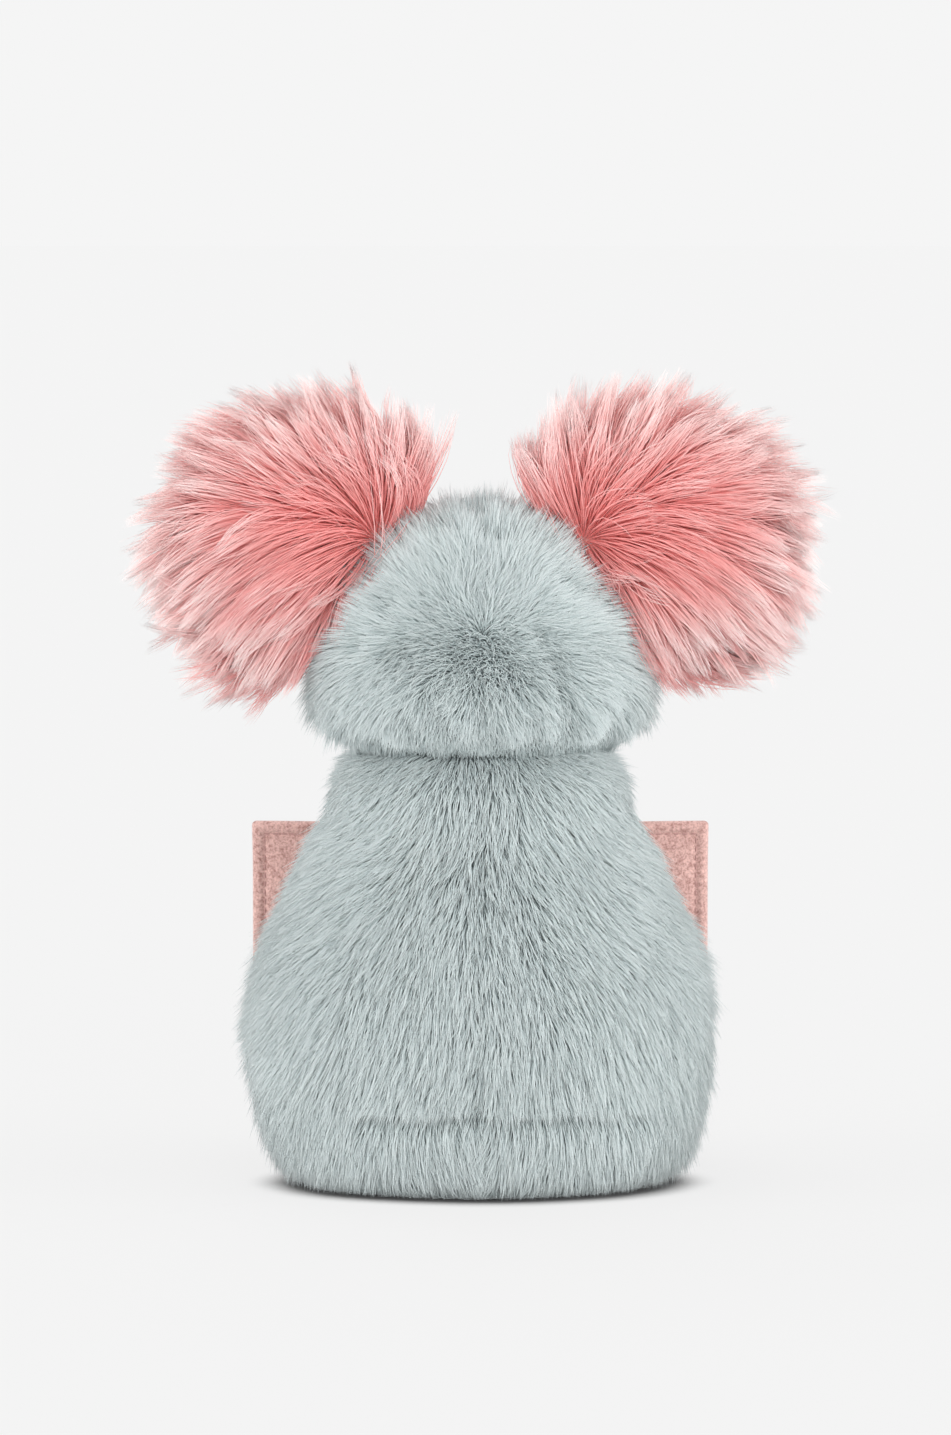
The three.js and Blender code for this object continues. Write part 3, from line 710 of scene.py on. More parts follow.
def seam_nearness(points, side_seam_low):
    """1 on the centre-back seam and the side seams, and 0 from 3 mm away."""
    x, y, z = points.T
    from_back, from_side = (1 - ramp(np.abs(d), 0.3 * MM, 3 * MM) for d in (x, y - SIDE_SEAM_Y))
    return np.maximum(from_back * (y > HAND_Y), from_side * (z > side_seam_low))


def room_above(points, level, kind, steep=1.35, least=0.2):
    """How long fur may be, as a share, before it hangs over a level from above."""
    share = (points[:, 2] - level + 2 * MM) / (kind["length"] * MM) * steep
    return np.where(points[:, 2] > level, np.clip(share, least, 1), 1)


def uneven(points, seed, amount):
    """Noise about 1, in patches some 12 mm wide."""
    return 1 + amount * drift(points, 12 * MM, seed)[:, 0].clip(-1, 1)


def crease_depth(points, middle, reach):
    """1 along the middle of the back, and 0 past where a crease runs out into the fur."""
    return (1 - ramp(np.abs(points[:, 0] - middle), reach - 12 * MM, reach)) * (points[:, 1] > HAND_Y)


def off_axis(points, pivot, direction):
    """Distance from a line through a pivot, taken on both sides of the puppet."""
    offset = np.abs(points * (1, 0, 0)) + points * (0, 1, 1) - pivot
    return np.linalg.norm(offset - (offset @ direction)[:, None] * direction, axis=1)


def torso_flow(points, normals, up):
    """The fur lies down and away from the middle of the back, and less so round the sides."""
    away = points - np.array([0, HAND_Y, NECK_Z + 22 * MM])
    away[:, 1] *= 0.35
    back = flat_on(away, normals)
    inward = np.zeros_like(points)
    in_band = 1 - ramp(points[:, 2], SEAT_SEAM_Z - 4 * MM, SEAT_SEAM_Z)
    near_middle = np.exp(-((points[:, 0] / (30 * MM)) ** 2)) * (points[:, 1] > HAND_Y)
    inward[:, 0] = -np.sign(points[:, 0]) * in_band * near_middle
    return flat_on(back + inward * 0.75 - up * 0.45, normals)


def whorl_flow(points, normals, centres):
    """The fur lies away from the nearer whorl: one on the back of the head, one at the nose."""
    total = np.zeros_like(points)
    for centre, reach in centres:
        away = points - centre
        distance = np.linalg.norm(away, axis=1, keepdims=True)
        total += flat_on(away, normals) * np.exp(-((distance / reach) ** 2) / 2)
    return flat_on(total, normals)


def face_clearance(points):
    """How much of its length the fur keeps beside the eyes, the nose and the mouth."""
    keep = np.ones(len(points))
    for name, least in (("eye_left", 0.6), ("eye_right", 0.6), ("nose", 0.3), ("mouth_stitch", 0.65)):
        low, high = map(np.array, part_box(name))
        offset = (points - (low + high) / 2) / ((high - low) / 2)
        distance = np.hypot(offset[:, 0], offset[:, 2])
        keep = np.minimum(keep, least + (1 - least) * ramp(distance, 0.9, 1.8))
        if name == "nose":
            keep[distance < 0.75] = 0
    return np.where(points[:, 1] < HAND_Y, keep, 1)


def rows_of(form, low, high, count):
    """Distances along a form's outline between two heights."""
    s = np.interp([low, high], form.height, form.travel)
    return np.linspace(s[0], s[1], count)


def side_angle(form, s):
    """Where a form's surface meets the side seam, as an angle for each distance s."""
    radius = np.interp(s, form.travel, form.radius) * form.depth
    return np.arcsin(np.clip((SIDE_SEAM_Y - form.origin[1]) / np.maximum(radius, 1e-6), -1, 1))


def backing(name, body, form, inner, low, high, faces, sign, replaces):
    """The knitted cloth under one side's panel: front, back, or both in one."""
    s = rows_of(form, low, high, 40)
    seam = side_angle(form, s)
    start = seam if faces == "back" else np.full(len(s), -math.pi / 2)
    stop = seam if faces == "front" else np.full(len(s), math.pi / 2)
    theta = start[:, None] + (stop - start)[:, None] * np.linspace(0, 1, 40)
    outer = form.grid(s, theta) * (sign, 1, 1)
    inside = inner.grid(rows_of(inner, low, high, 40), theta) * (sign, 1, 1)
    piece = shell(name, outer, inside)
    if name.startswith("belly"):
        cut(piece, arm_way(sign))
    finish_piece(piece, "grey_backing", body, replaces)


def arm_way(sign):
    """The round way through which a finger reaches an arm."""
    outline = [[0, 0], [ARM_BORE, 0], [ARM_BORE, 60], [0, 60]]
    origin = (ARM_PIVOT[0], HAND_Y, ARM_PIVOT[2])
    form = Turned(np.array(outline) * MM, 1.0, origin, (1, 0, 0), (0, -1, 0))
    return turned_solid("arm_way", form, sign=sign)


def make_backings():
    """The cloth that the fur of the body and the head grows from."""
    torso = ("torso", TORSO, TORSO_INNER, BODY_FILLING)
    head = ("head", HEAD, HEAD_INNER, ["head_stuffing"])
    head_top = HEAD.height[-1]
    for side, sign in SIDES.items():
        for part, (body, form, inner, fill), low, high, faces, node in (
            ("seat", torso, 0.4 * MM, SEAT_SEAM_Z, "both", f"seat_band_{side}"),
            ("back", torso, SEAT_SEAM_Z, COLLAR_BOTTOM_Z, "back", f"back_panel_{side}"),
            ("belly", torso, SEAT_SEAM_Z, COLLAR_BOTTOM_Z, "front", f"belly_panel_{side}"),
            ("head_back", head, COLLAR_TOP_Z, head_top, "back", f"head_back_{side}"),
            ("face", head, COLLAR_TOP_Z, head_top, "front", "face_panel"),
        ):
            name = f"{part}_{side}_backing"
            backing(name, body, form, inner, low, high, faces, sign, [node])
    collar("neck_lower_backing", TORSO, TORSO_INNER, COLLAR_BOTTOM_Z, NECK_Z)
    collar("neck_upper_backing", HEAD, HEAD_INNER, NECK_Z, COLLAR_TOP_Z)


def collar(name, form, inner, low, high):
    """A ring of backing cloth at the neck."""
    theta = np.broadcast_to(np.linspace(0, 2 * math.pi, 96, endpoint=False), (12, 96))
    outer, inside = (layer.grid(rows_of(layer, low, high, 12), theta) for layer in (form, inner))
    piece = finish_piece(ring_cloth(name, outer, inside), "grey_backing")
    bend_at_neck(piece)


def bend_at_neck(piece):
    """Bakes a piece's placement into its mesh."""
    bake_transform(piece)


def make_head_filling():
    """The head's stuffing, cut from its CAD form. Its bottom is divided by level cuts near the neck."""
    node = frame["nodes"]["head_stuffing"]
    mesh = bpy.data.meshes.new("head_filling")
    filling = bmesh.new()
    filling.from_mesh(node.data)
    filling.transform(node.matrix_world)
    for level in np.linspace(NECK_Z + 2 * MM, COLLAR_TOP_Z, 6):
        everything = filling.verts[:] + filling.edges[:] + filling.faces[:]
        bmesh.ops.bisect_plane(filling, geom=everything, plane_co=(0, 0, level), plane_no=(0, 0, 1))
    filling.to_mesh(mesh)
    filling.free()
    piece = bpy.data.objects.new("head_filling", mesh)
    bpy.context.scene.collection.objects.link(piece)
    finish_piece(piece, "wadding", replaces=["head_stuffing"])
    bend_at_neck(piece)


def add_sides(fur, x, parts, body):
    """The fur of each part, split at the middle into a left and a right piece."""
    for side, sign in SIDES.items():
        for part, chosen in parts.items():
            add_fur(f"{part}_{side}_fur", fur, chosen & (x * sign > 0), BODY_COAT, body)


def make_body_fur():
    """Fur on the torso, shorter on its seams and where it would hang over the seat seam."""
    rng = random_for("torso_places")
    points, normals, up = TORSO.at(*TORSO.scatter(rng, BODY_COAT["spacing"] * MM * THIN_OUT))
    under_arm = off_axis(points, ARM_PIVOT, np.array([0, -1, 0])) < ARM_BORE * MM
    under_leg = off_axis(points, LEG_PIVOT, LEG_DIRECTION) < LEG_ROOT
    grows = (points[:, 1] >= HAND_Y) | ~(under_arm | under_leg)
    points, normals, up = points[grows], normals[grows], up[grows]
    x, y, z = points.T
    back = y > SIDE_SEAM_Y
    flow = torso_flow(points, normals, up)
    high = ramp(z, NECK_Z - 34 * MM, NECK_Z - 14 * MM)
    near_neck = ramp(z, NECK_Z - 11 * MM, NECK_Z - 2 * MM)
    neck_crease = crease_depth(points, *NECK_CREASE)
    scale = 1 - 0.3 * seam_nearness(points, SEAT_SEAM_Z)
    scale = scale * (1 - 0.25 * high) * (1 - 0.1 * near_neck * neck_crease)
    crease = (crease_depth(points, *SEAT_CREASE) * uneven(points, 12, 0.35)).clip(0, 1)
    over_seam = 1 - crease * (1 - room_above(points, SEAT_SEAM_Z, BODY_COAT))
    stand = 18 * (1 - over_seam) + near_neck * (18 - 26 * neck_crease) - 5 * high
    fur = grow("torso_fur", points, normals, flow, BODY_COAT, scale * over_seam, stand=stand)
    low, in_collar = z < SEAT_SEAM_Z, z > COLLAR_BOTTOM_Z
    parts = {"seat": low, "back": back & ~low & ~in_collar, "belly": ~back & ~low & ~in_collar}
    add_sides(fur, x, parts, "torso")
    piece = strands_object("neck_lower_fur", fur, in_collar, "grey_fur", BODY_COAT["round_share"])
    bend_at_neck(piece)


def make_head_fur():
    """Fur on the head. It stands up at the whorl behind, and lies away from the nose in front."""
    rng = random_for("head_places")
    whorl = np.array([0, HAND_Y + 50 * MM, HEAD_WHORL_Z])
    places = [HEAD.scatter(rng, BODY_COAT["spacing"] * MM * THIN_OUT) for _ in range(2)]
    points, normals, _ = HEAD.at(*np.hstack(places))
    off_whorl = np.linalg.norm((points - whorl) * (0.75, 1, 1), axis=1)
    unsettled = np.exp(-((off_whorl / (38 * MM)) ** 2))
    keep = face_clearance(points)
    spare = np.arange(len(points)) >= places[0].shape[1]  # thicker where the fur stands up at the whorl
    grows = (keep > 0.02) & (~spare | (rng.uniform(size=len(points)) < unsettled))
    points, normals, keep, unsettled = (a[grows] for a in (points, normals, keep, unsettled))
    x, y, z = points.T
    back, in_front = y > SIDE_SEAM_Y, y < HAND_Y
    flow = whorl_flow(points, normals, [(whorl, 40 * MM), (NOSE, 34 * MM)])
    falls = 3.2 * (1 - ramp(z, HEAD_WHORL_Z - 22 * MM, HEAD_WHORL_Z + 2 * MM)) * ~in_front
    flow = flat_on(flow - falls[:, None] * (0, 0, 1), normals)
    wander = 34 * drift(points, 8 * MM, 8)[:, 0] + 40 * rng.normal(size=len(points))
    flow = turn_in_plane(flow, normals, unsettled * wander)
    hides_neck = 1.25 - 0.25 * crease_depth(points, *NECK_CREASE)
    over_neck = room_above(points, NECK_Z, BODY_COAT, 0.5, 0.3) * hides_neck * uneven(points, 14, 0.5)
    over_neck = over_neck.clip(0, 1)
    scale = (1 - 0.2 * seam_nearness(points, NECK_Z)) * keep * over_neck * (1 - 0.15 * unsettled)
    scale = scale * np.where(in_front, 0.85, 1)
    beside = ramp(np.abs(x), 22 * MM, 36 * MM) * ramp(z, 178 * MM, 194 * MM)
    stand = 42 * unsettled + 14 * beside - 20 * (1 - over_neck)
    # At the whorl the roots start paler: less painted shade at the roots where the fur stands up.
    fur = grow("head_fur", points, normals, flow, BODY_COAT, scale, stand=stand,
               pull=1 - 0.8 * unsettled, shade=(0.45 * unsettled, 1.0))
    in_collar = z < COLLAR_TOP_Z
    add_sides(fur, x, {"head_back": back & ~in_collar, "face": ~back & ~in_collar}, "head")
    piece = strands_object("neck_upper_fur", fur, in_collar, "grey_fur", BODY_COAT["round_share"])
    bend_at_neck(piece)


# ---------------- ears


def ear_places(rng, spacing):
    """Even places on the ear's stuffed core, with their normals."""
    a, b, c = EAR_CORE["half"]
    area = 2 * math.pi * (a * c + b * (a + c) / 2)
    count = int(area / spacing**2)
    turn = np.arange(count) * math.pi * (3 - math.sqrt(5)) + rng.uniform(-0.5, 0.5, count) * 0.02
    height = 1 - 2 * (np.arange(count) + rng.uniform(0, 1, count)) / count
    ring = np.sqrt(1 - height**2)
    sphere = np.stack([ring * np.cos(turn), height, ring * np.sin(turn)], 1)
    normals = unit(sphere / (a, b, c))
    centre = np.array([EAR_CORE["centre"][0], 0, EAR_CORE["centre"][1]])
    return (sphere * (a, b, c) + centre) * MM, normals


def ear_reach(points, direction, side):
    """Distance in the ear's plane from each point to the outline that the tips reach."""
    (cx, cz), (a, c) = EAR_OUT[side]
    px, pz = (points[:, 0] / MM - cx) / a, (points[:, 2] / MM - cz) / c
    dx, dz = direction[:, 0] / a, direction[:, 2] / c
    square, half = dx**2 + dz**2, px * dx + pz * dz
    return (-half + np.sqrt(np.maximum(half**2 - square * (px**2 + pz**2 - 1), 0))) / square * MM


def off_head(points):
    """How far points of an ear are from the head's own axis: 1 on its skin, and more outside it."""
    radius = np.interp(points[:, 2], HEAD.height, HEAD.radius).clip(1e-6)
    return np.hypot(points[:, 0] / radius, points[:, 1] / radius / HEAD_DEPTH)


def make_ear(side, sign):
    """An ear's long fur: it fans out from the root to the outline, and droops in locks."""
    rng = random_for(f"ear_{side}_places")
    points, normals = ear_places(rng, EAR_COAT["spacing"] * THIN_OUT)
    outside = off_head(points) > 1.1
    points, normals = points[outside], normals[outside]
    around = np.arctan2(points[:, 2] - EAR_ROOT[1] * MM, points[:, 0] - EAR_ROOT[0] * MM)
    points_at = np.radians(np.interp(np.degrees(around), *EAR_FAN))
    fan = np.stack([np.cos(points_at), 0 * points_at, np.sin(points_at)], 1)
    facing = np.abs(normals[:, 1])
    below_top = 1 - ramp(points[:, 2], 216 * MM, 242 * MM)
    flow = flat_on(fan + EAR_FALL * (0.2 * facing * below_top)[:, None], normals)
    heading = unit(flow * (1, 0, 1))
    spikes = drift(points, 9 * MM, 31 + len(side))[:, 1].clip(-1, 1)
    inner_top = ramp(-heading[:, 0], -0.4, 0.1) * (heading[:, 2] > 0)
    hanging = ramp(-heading[:, 2], 0.3, 0.9)
    room = ear_reach(points, heading, side) * (0.97 + 0.19 * spikes + 0.24 * inner_top - 0.24 * hanging)
    length = np.minimum(EAR_COAT["length"] * MM, room * (1 + 0.08 * facing))
    scale = np.maximum(length, 10 * MM) / (EAR_COAT["length"] * MM)
    # Strands that reach the outline run on to the pale tip colour: painted light through the thin tips at
    # the ear's edge.
    at_edge = ramp(length / room, 0.4, 0.95)
    bend = EAR_FALL * (0.05 + 1.0 * facing * below_top)[:, None]
    # Near the head the colour stops short of the pale end: painted shade where the ear meets the head.
    painted_shade_by_head = 1 - ramp(off_head(points), 1.1, 1.5)
    fur = grow(f"ear_{side}_fur", points, normals, flow, EAR_COAT, scale, bend,
               pull=0.5 + 0.5 * at_edge, shade=(0.0, (0.5 + 0.5 * at_edge) * (1 - 0.35 * painted_shade_by_head)))
    mirror_fur(fur, sign)
    fur["lines"] = fur["lines"] + np.array([0, HAND_Y, 0])
    half = {"back": normals[:, 1] > 0, "front": normals[:, 1] <= 0}
    for face, chosen in half.items():
        add_fur(f"ear_{side}_{face}_fur", fur, chosen, EAR_COAT, f"ear_{side}", "pink_fur")
    ear_core(side, sign)


def ear_core(side, sign):
    """The stuffed cloth that the ear's strands grow from."""
    a, b, c = EAR_CORE["half"]
    x, z = EAR_CORE["centre"]
    angle = np.linspace(0, math.pi, 40)
    outline = np.stack([np.sin(angle) * a, -np.cos(angle) * c], 1) * MM
    form = Turned(outline, b / a, (x * MM, HAND_Y, z * MM))
    body = f"ear_{side}"
    piece = turned_solid(f"{body}_core", form, sign=sign)
    finish_piece(piece, "pink_backing", body, [f"{body}_back", f"{body}_front", f"{body}_pad"])


# ---------------- thread


def stitches(name, path, facing, sign, look, body, length=2.2, gap=0.9, radius=0.28):
    """A row of stitches along a path, on cloth that faces one way; sign is -1 to mirror it.

    Sizes are in millimetres. Each stitch dips into the cloth at both ends.
    """
    path, out = path * (sign, 1, 1), unit(np.array(facing)) * (sign, 1, 1)
    travel = np.append(0, np.cumsum(np.linalg.norm(np.diff(path, axis=0), axis=1)))
    count = int(travel[-1] / MM / (length + gap))
    starts = (np.arange(count) + 0.5) * travel[-1] / count - length * MM / 2
    places = starts[:, None] + np.array([0, 0.12, 0.35, 0.65, 0.88, 1]) * length * MM
    rise = np.array([-0.9, 0.15, 0.6, 0.6, 0.15, -0.9]) * radius * MM
    swell = np.array([0.4, 0.85, 1, 1, 0.85, 0.4]) * radius * MM
    centre = np.stack([np.interp(places, travel, path[:, k]) for k in range(3)], -1)
    centre = centre + out * rise[:, None]
    side = unit(np.cross(out, centre[:, -1:] - centre[:, :1]))
    rings = centre[:, :, None] + spokes(side, out, 6) * swell[:, None, None]
    finish_piece(lofts(name, rings), look, body)


# ---------------- face


def make_nose():
    """A stuffed leather nose: broad at the top, with a soft nostril low on each side."""
    height = np.linspace(-0.998, 0.998, 48)[:, None]
    turn = np.linspace(0, 2 * math.pi, 56, endpoint=False)
    ring = np.sqrt(1 - height**2)
    ball = np.stack([ring * np.cos(turn), ring * np.sin(turn), height + 0 * turn], -1)
    size = 1 - 0.1 * ramp(-ball[..., 2], 0.1, 1)
    for sign in SIDES.values():
        nostril = unit(np.array([0.5 * sign, -0.78, -0.38]))
        size = size - 0.2 * np.exp(-(((ball - nostril) / (0.34, 0.3, 0.2)) ** 2).sum(-1))
    half = (NOSE_HIGH - NOSE_LOW) / 2
    half[1] = NOSE_DEPTH
    centre = np.array([0, NOSE_LOW[1] + NOSE_DEPTH, NOSE[2]])
    points = centre + ball * size[..., None] * half
    points[..., 1] = np.minimum(points[..., 1], NOSE_HIGH[1])
    piece = lofts("nose_leather_cover", points[None])
    finish_piece(piece, "nose_leather", "head", ["nose"])


def make_eyes():
    """Safety eyes: a domed bead with a thin flange, and a post that goes through the face."""
    angle = np.linspace(0, math.pi / 2, 16)
    dome = EYE["radius"] * np.stack([np.cos(angle), np.sin(angle)], 1)
    post = [[0, -13], [1.8, -12.9], [1.8, -2.1], [5.2, -2], [5.8, -1.7], [6, -1.1]]
    outline = np.vstack([post, dome]) * MM
    facing = np.array(EYE["facing"])
    form = Turned(outline, 1.0, np.array(EYE["at"]) * MM, np.cross(facing, (0, 0, 1)), facing)
    for side, sign in SIDES.items():
        piece = turned_solid(f"eye_{side}_bead", form, rows=110, sign=sign)
        finish_piece(piece, "eye_plastic", "head", [f"eye_{side}"])


def make_mouth():
    """One curved stitch of two-ply thread."""
    a, b, c = np.array(MOUTH) * MM
    share = np.linspace(0, 1, 90)[:, None]
    middle = (1 - share) ** 2 * a + 2 * share * (1 - share) * b + share**2 * c
    along = unit(np.gradient(middle, axis=0))
    side = unit(np.cross(along, (0, -1, 0)))
    front = np.cross(along, side)
    swell = 0.42 * MM * np.sqrt(np.clip(1 - (2 * share - 1) ** 16, 0.05, 1))
    plies = []
    for start in (0, math.pi):
        twist = start + share * 2 * math.pi * 7
        centre = middle + (side * np.cos(twist) + front * np.sin(twist)) * 0.36 * MM
        plies.append(centre[:, None] + spokes(side, front, 10) * swell[:, None])
    finish_piece(lofts("mouth_thread", np.array(plies)), "dark_thread", "head", ["mouth_stitch"])


# ---------------- arms and legs


def limb_coat(name, form, sign, body, low, high, short_from):
    """Fur along a limb between two distances from its pivot, shorter near the end of it."""
    spacing = LIMB_COAT["spacing"] * MM * THIN_OUT
    points, normals, up = form.at(*form.scatter(random_for(name + "_places"), spacing))
    along = (points - form.origin) @ form.along
    chosen = (along > low) & (along < high)
    points, normals, up, along = (a[chosen] for a in (points, normals, up, along))
    scale = 1 - 0.6 * ramp(along, short_from, high)
    at_join = along < low + 5 * MM  # there it leans back over the join with the body
    flow = np.where(at_join[:, None], -up, up)
    fur = grow(name, points, normals, flow, LIMB_COAT, scale, stand=15.0 * at_join)
    mirror_fur(fur, sign)
    add_fur(name, fur, np.full(len(points), True), LIMB_COAT, body)


def disc(name, node, look, body, facing, sign, dome=0.1):
    """A round patch with a soft edge, in the place of a CAD one."""
    low, high = map(np.array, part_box(node))
    centre, radius = (low + high) / 2 * (sign, 1, 1), (high[2] - low[2]) / 2 / MM
    half = ((high - low)[1] / MM - 2 * radius * abs(facing[0])) / 2 / abs(facing[1])
    outline = [[0, -half], [radius - half * 0.6, -half], [radius, 0], [radius - half * 0.6, half * 0.8],
               [radius * 0.5, half * (1 + dome)], [0, half * (1 + dome)]]
    form = Turned(smooth_outline(outline), 1.0, centre, (0, 0, 1), facing)
    finish_piece(turned_solid(name, form, sign=sign), look, body, [node])
    turn = np.linspace(0, 2 * math.pi, 80)[:, None]
    round_ = np.cos(turn) * form.across + np.sin(turn) * form.deep
    path = centre + half * MM * facing + (radius - 1.3) * MM * round_
    stitches(f"{name}_stitches", path, facing, sign, "thread", body, 1.4, 0.7, 0.2)


def make_arms():
    """Fur arms with a finger's stall inside, and a suede patch with a loop dot at the paw."""
    skin, outside = (
        Turned(smooth_outline(outline), 1.0, ARM_PIVOT, (1, 0, 0), (0, -1, 0))
        for outline in (ARM_SKIN, ARM_SKIN[ARM_OUTSIDE:]))
    for side, sign in SIDES.items():
        body = f"arm_{side}"
        piece = turned_solid(f"{body}_skin", skin, rows=70, sign=sign)
        finish_piece(piece, "grey_backing", body, [f"{body}_fur"])
        limb_coat(f"{body}_coat", outside, sign, body, -9 * MM, 32 * MM, 18 * MM)
        disc(f"paw_{side}_patch", f"paw_{side}_pad", "paw_suede", body, BOOK_BACK, sign)
        disc(f"paw_{side}_loops", f"paw_{side}_fastener", "hook_and_loop", body, -BOOK_BACK, sign)


def make_legs():
    """Stuffed legs that lie forwards, with a suede patch under each foot."""
    across = (-LEG_DIRECTION[1], LEG_DIRECTION[0], 0)
    form = Turned(smooth_outline(LEG_SKIN), 1.0, LEG_PIVOT, across, LEG_DIRECTION)
    for side, sign in SIDES.items():
        body = f"leg_{side}"
        piece = turned_solid(f"{body}_skin", form, sign=sign)
        finish_piece(piece, "grey_backing", body, [f"{body}_fur", f"{body}_stuffing"])
        limb_coat(f"{body}_coat", form, sign, body, -6 * MM, 61 * MM, 48 * MM)
        disc(f"foot_{side}_patch", f"foot_{side}_pad", "paw_suede", body, LEG_DIRECTION, sign, dome=0.5)


# ---------------- book


def on_book(across, z, height, sign=1):
    """Points on the open book: a distance from its middle, a level, and a height off it to the puppet."""
    across, z, height = np.broadcast_arrays(sign * across, z, height)
    beyond = np.maximum(np.abs(across) - HINGE[0], 0)
    lean = BOOK_ANGLE * ramp(np.abs(across), SPINE_EDGE, COVER_START)
    out = np.minimum(np.abs(across), HINGE[0]) + beyond * math.cos(BOOK_ANGLE) + height * np.sin(lean)
    y = HINGE[1] - beyond * math.sin(BOOK_ANGLE) + height * np.cos(lean)
    return np.stack([np.sign(across) * out, y, z], -1)


def book_grid(start, margin=0.0):
    """Places on a cover from a start to its edge: close together there, and round at the corners."""
    fine = np.linspace(0, 8 * MM, 15)
    edge, low, high = BOOK_EDGE - margin, BOOK_LOW + margin, BOOK_HIGH - margin
    across = np.concatenate([np.linspace(start, edge - 8 * MM, 36)[:-1], edge - fine[::-1]])
    middle = np.linspace(low + 8 * MM, high - 8 * MM, 40)[1:-1]
    z = np.concatenate([low + fine, middle, high - fine[::-1]])
    across, z = np.meshgrid(across, z)
    to_side, to_end = edge - across, np.minimum(z - low, high - z)
    p, q = np.clip(1 - to_side / BOOK_CORNER, 0, 1), np.clip(1 - to_end / BOOK_CORNER, 0, 1)
    shift_side = BOOK_CORNER * p * (1 - np.sqrt(1 - q**2 / 2))
    shift_end = BOOK_CORNER * q * (1 - np.sqrt(1 - p**2 / 2))
    return across - shift_side, z + shift_end * np.where(z < (low + high) / 2, 1, -1)


def to_edge(across, z, margin=0.0):
    """Distance in from the edge of the book, or of a leaf with a margin round it."""
    side = BOOK_EDGE - margin - np.abs(across)
    end = np.minimum(z - BOOK_LOW, BOOK_HIGH - z) - margin
    p, q = np.maximum(BOOK_CORNER - side, 0), np.maximum(BOOK_CORNER - end, 0)
    return np.where((p > 0) & (q > 0), BOOK_CORNER - np.hypot(p, q), np.minimum(side, end)).clip(0)


def waves(across, z):
    """Slow waves in the covers, and corners that turn up a little."""
    flat = np.stack([across, 0 * across, z], -1).reshape(-1, 3)
    slow = drift(flat, 60 * MM, 21)[:, 0].reshape(across.shape) * 0.22 * MM
    corner = np.hypot(BOOK_EDGE - across, np.minimum(z - BOOK_LOW, BOOK_HIGH - z))
    return (slow + 1.1 * MM * np.exp(-((corner / (10 * MM)) ** 2))) * ramp(across, COVER_START, 30 * MM)


def filled(across, z, start=4.6, full=12):
    """0 on the spine and outside the topstitching, and 1 where the wadding is."""
    from_hinge = ramp(np.abs(across), COVER_START, COVER_START + 8 * MM)
    return ramp(to_edge(across, z), start * MM, full * MM) * from_hinge


def suede_out(across, z):
    """Height of the suede's outer face: round at the edge, drawn in at the stitches, full inside them."""
    d = to_edge(across, z) / MM
    groove = 0.8 * np.exp(-((d - STITCH_INSET / MM) ** 2))
    return (-0.6 + 1.5 * (1 - np.exp(-d / 0.8)) - groove + 0.9 * filled(across, z)) * MM


def suede_in(across, z):
    return suede_out(across, z) - (0.5 + 0.5 * ramp(to_edge(across, z), 0, 3 * MM)) * MM


def lining_out(across, z):
    """Height of the lining's outer face, on the side that is read."""
    inside = ramp(to_edge(across, z), 0, STITCH_INSET)
    on_spine = 1 - ramp(np.abs(across), SPINE_EDGE, COVER_START)
    return (-1.6 - (0.6 - 1.1 * on_spine) * inside - 1.7 * filled(across, z, 4.6, 10)) * MM


def lining_in(across, z):
    return lining_out(across, z) + (0.5 + 0.2 * ramp(to_edge(across, z), 0, 3 * MM)) * MM


def leaf(name, look, body, across, z, heights, sign, replaces=()):
    """One layer of the book, from the heights of its face towards the puppet and of its other face."""
    faces = [on_book(across, z, height, sign) for height in heights]
    return finish_piece(shell(name, *faces), look, body, replaces), faces[0]


BOOK_CLOTHS = (  # part, look, two faces, and the nodes that it stands for in a cover and in the spine
    ("suede", "book_suede", (suede_out, suede_in), "outer", ["book_spine"]),
    ("lining", "page_cloth", (lining_in, lining_out), "lining", []),
)


def make_covers():
    """Two padded covers and the spine between them, with a fold strip where each cover turns from the
    spine.
    """
    across, z = book_grid(COVER_START)
    fold_across, fold_z = np.meshgrid(np.linspace(SPINE_EDGE, COVER_START, 9), z[:, 0])
    spine_across, spine_z = np.meshgrid(np.linspace(-SPINE_EDGE, SPINE_EDGE, 19), z[:, 0])
    folds = {"suede": [], "lining": []}
    for side, sign in SIDES.items():
        body = f"cover_{side}"
        ends = [on_book(edge, HINGE[2], 0, sign) for edge in (SPINE_EDGE, COVER_START)]
        for part, look, faces, node, _ in BOOK_CLOTHS:
            heights = [face(across, z) + waves(across, z) for face in faces]
            name = f"{body}_{part}_sheet"
            piece, face = leaf(name, look, body, across, z, heights, sign, [f"{body}_{node}"])
            heights = [face(fold_across, fold_z) for face in faces]
            fold, _ = leaf(f"fold_{side}_{part}", look, None, fold_across, fold_z, heights, sign)
            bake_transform(fold)
            folds[part].append(fold)
        make_batt(side, sign)
        for end, height, way in (("back", suede_out, 1), ("front", lining_out, -1)):
            name = f"{body}_{end}_stitches"
            edge_stitches(name, "thread", body, COVER_START, STITCH_INSET, height, way, sign)
    for part, look, faces, _, replaced in BOOK_CLOTHS:
        heights = [face(spine_across, spine_z) for face in faces]
        piece, _ = leaf(f"spine_{part}", look, "book", spine_across, spine_z, heights, 1, replaced)


def make_batt(side, sign):
    """The wadding inside a cover."""
    inset, start = STITCH_INSET + 0.8 * MM, COVER_START + 1 * MM
    across, z = book_grid(start, inset)
    thick = ramp(to_edge(across, z, inset), 0, 5 * MM) * ramp(across, start, start + 5 * MM)
    low, high = lining_in(across, z), suede_in(across, z)
    half = np.maximum(((high - low) / 2 - 0.1 * MM) * (0.3 + 0.7 * thick), 0.1 * MM)
    middle = (high + low) / 2 + waves(across, z)
    body = f"cover_{side}"
    heights = (middle + half, middle - half)
    piece, _ = leaf(f"{body}_batt", "wadding", body, across, z, heights, sign, [f"{body}_wadding"])


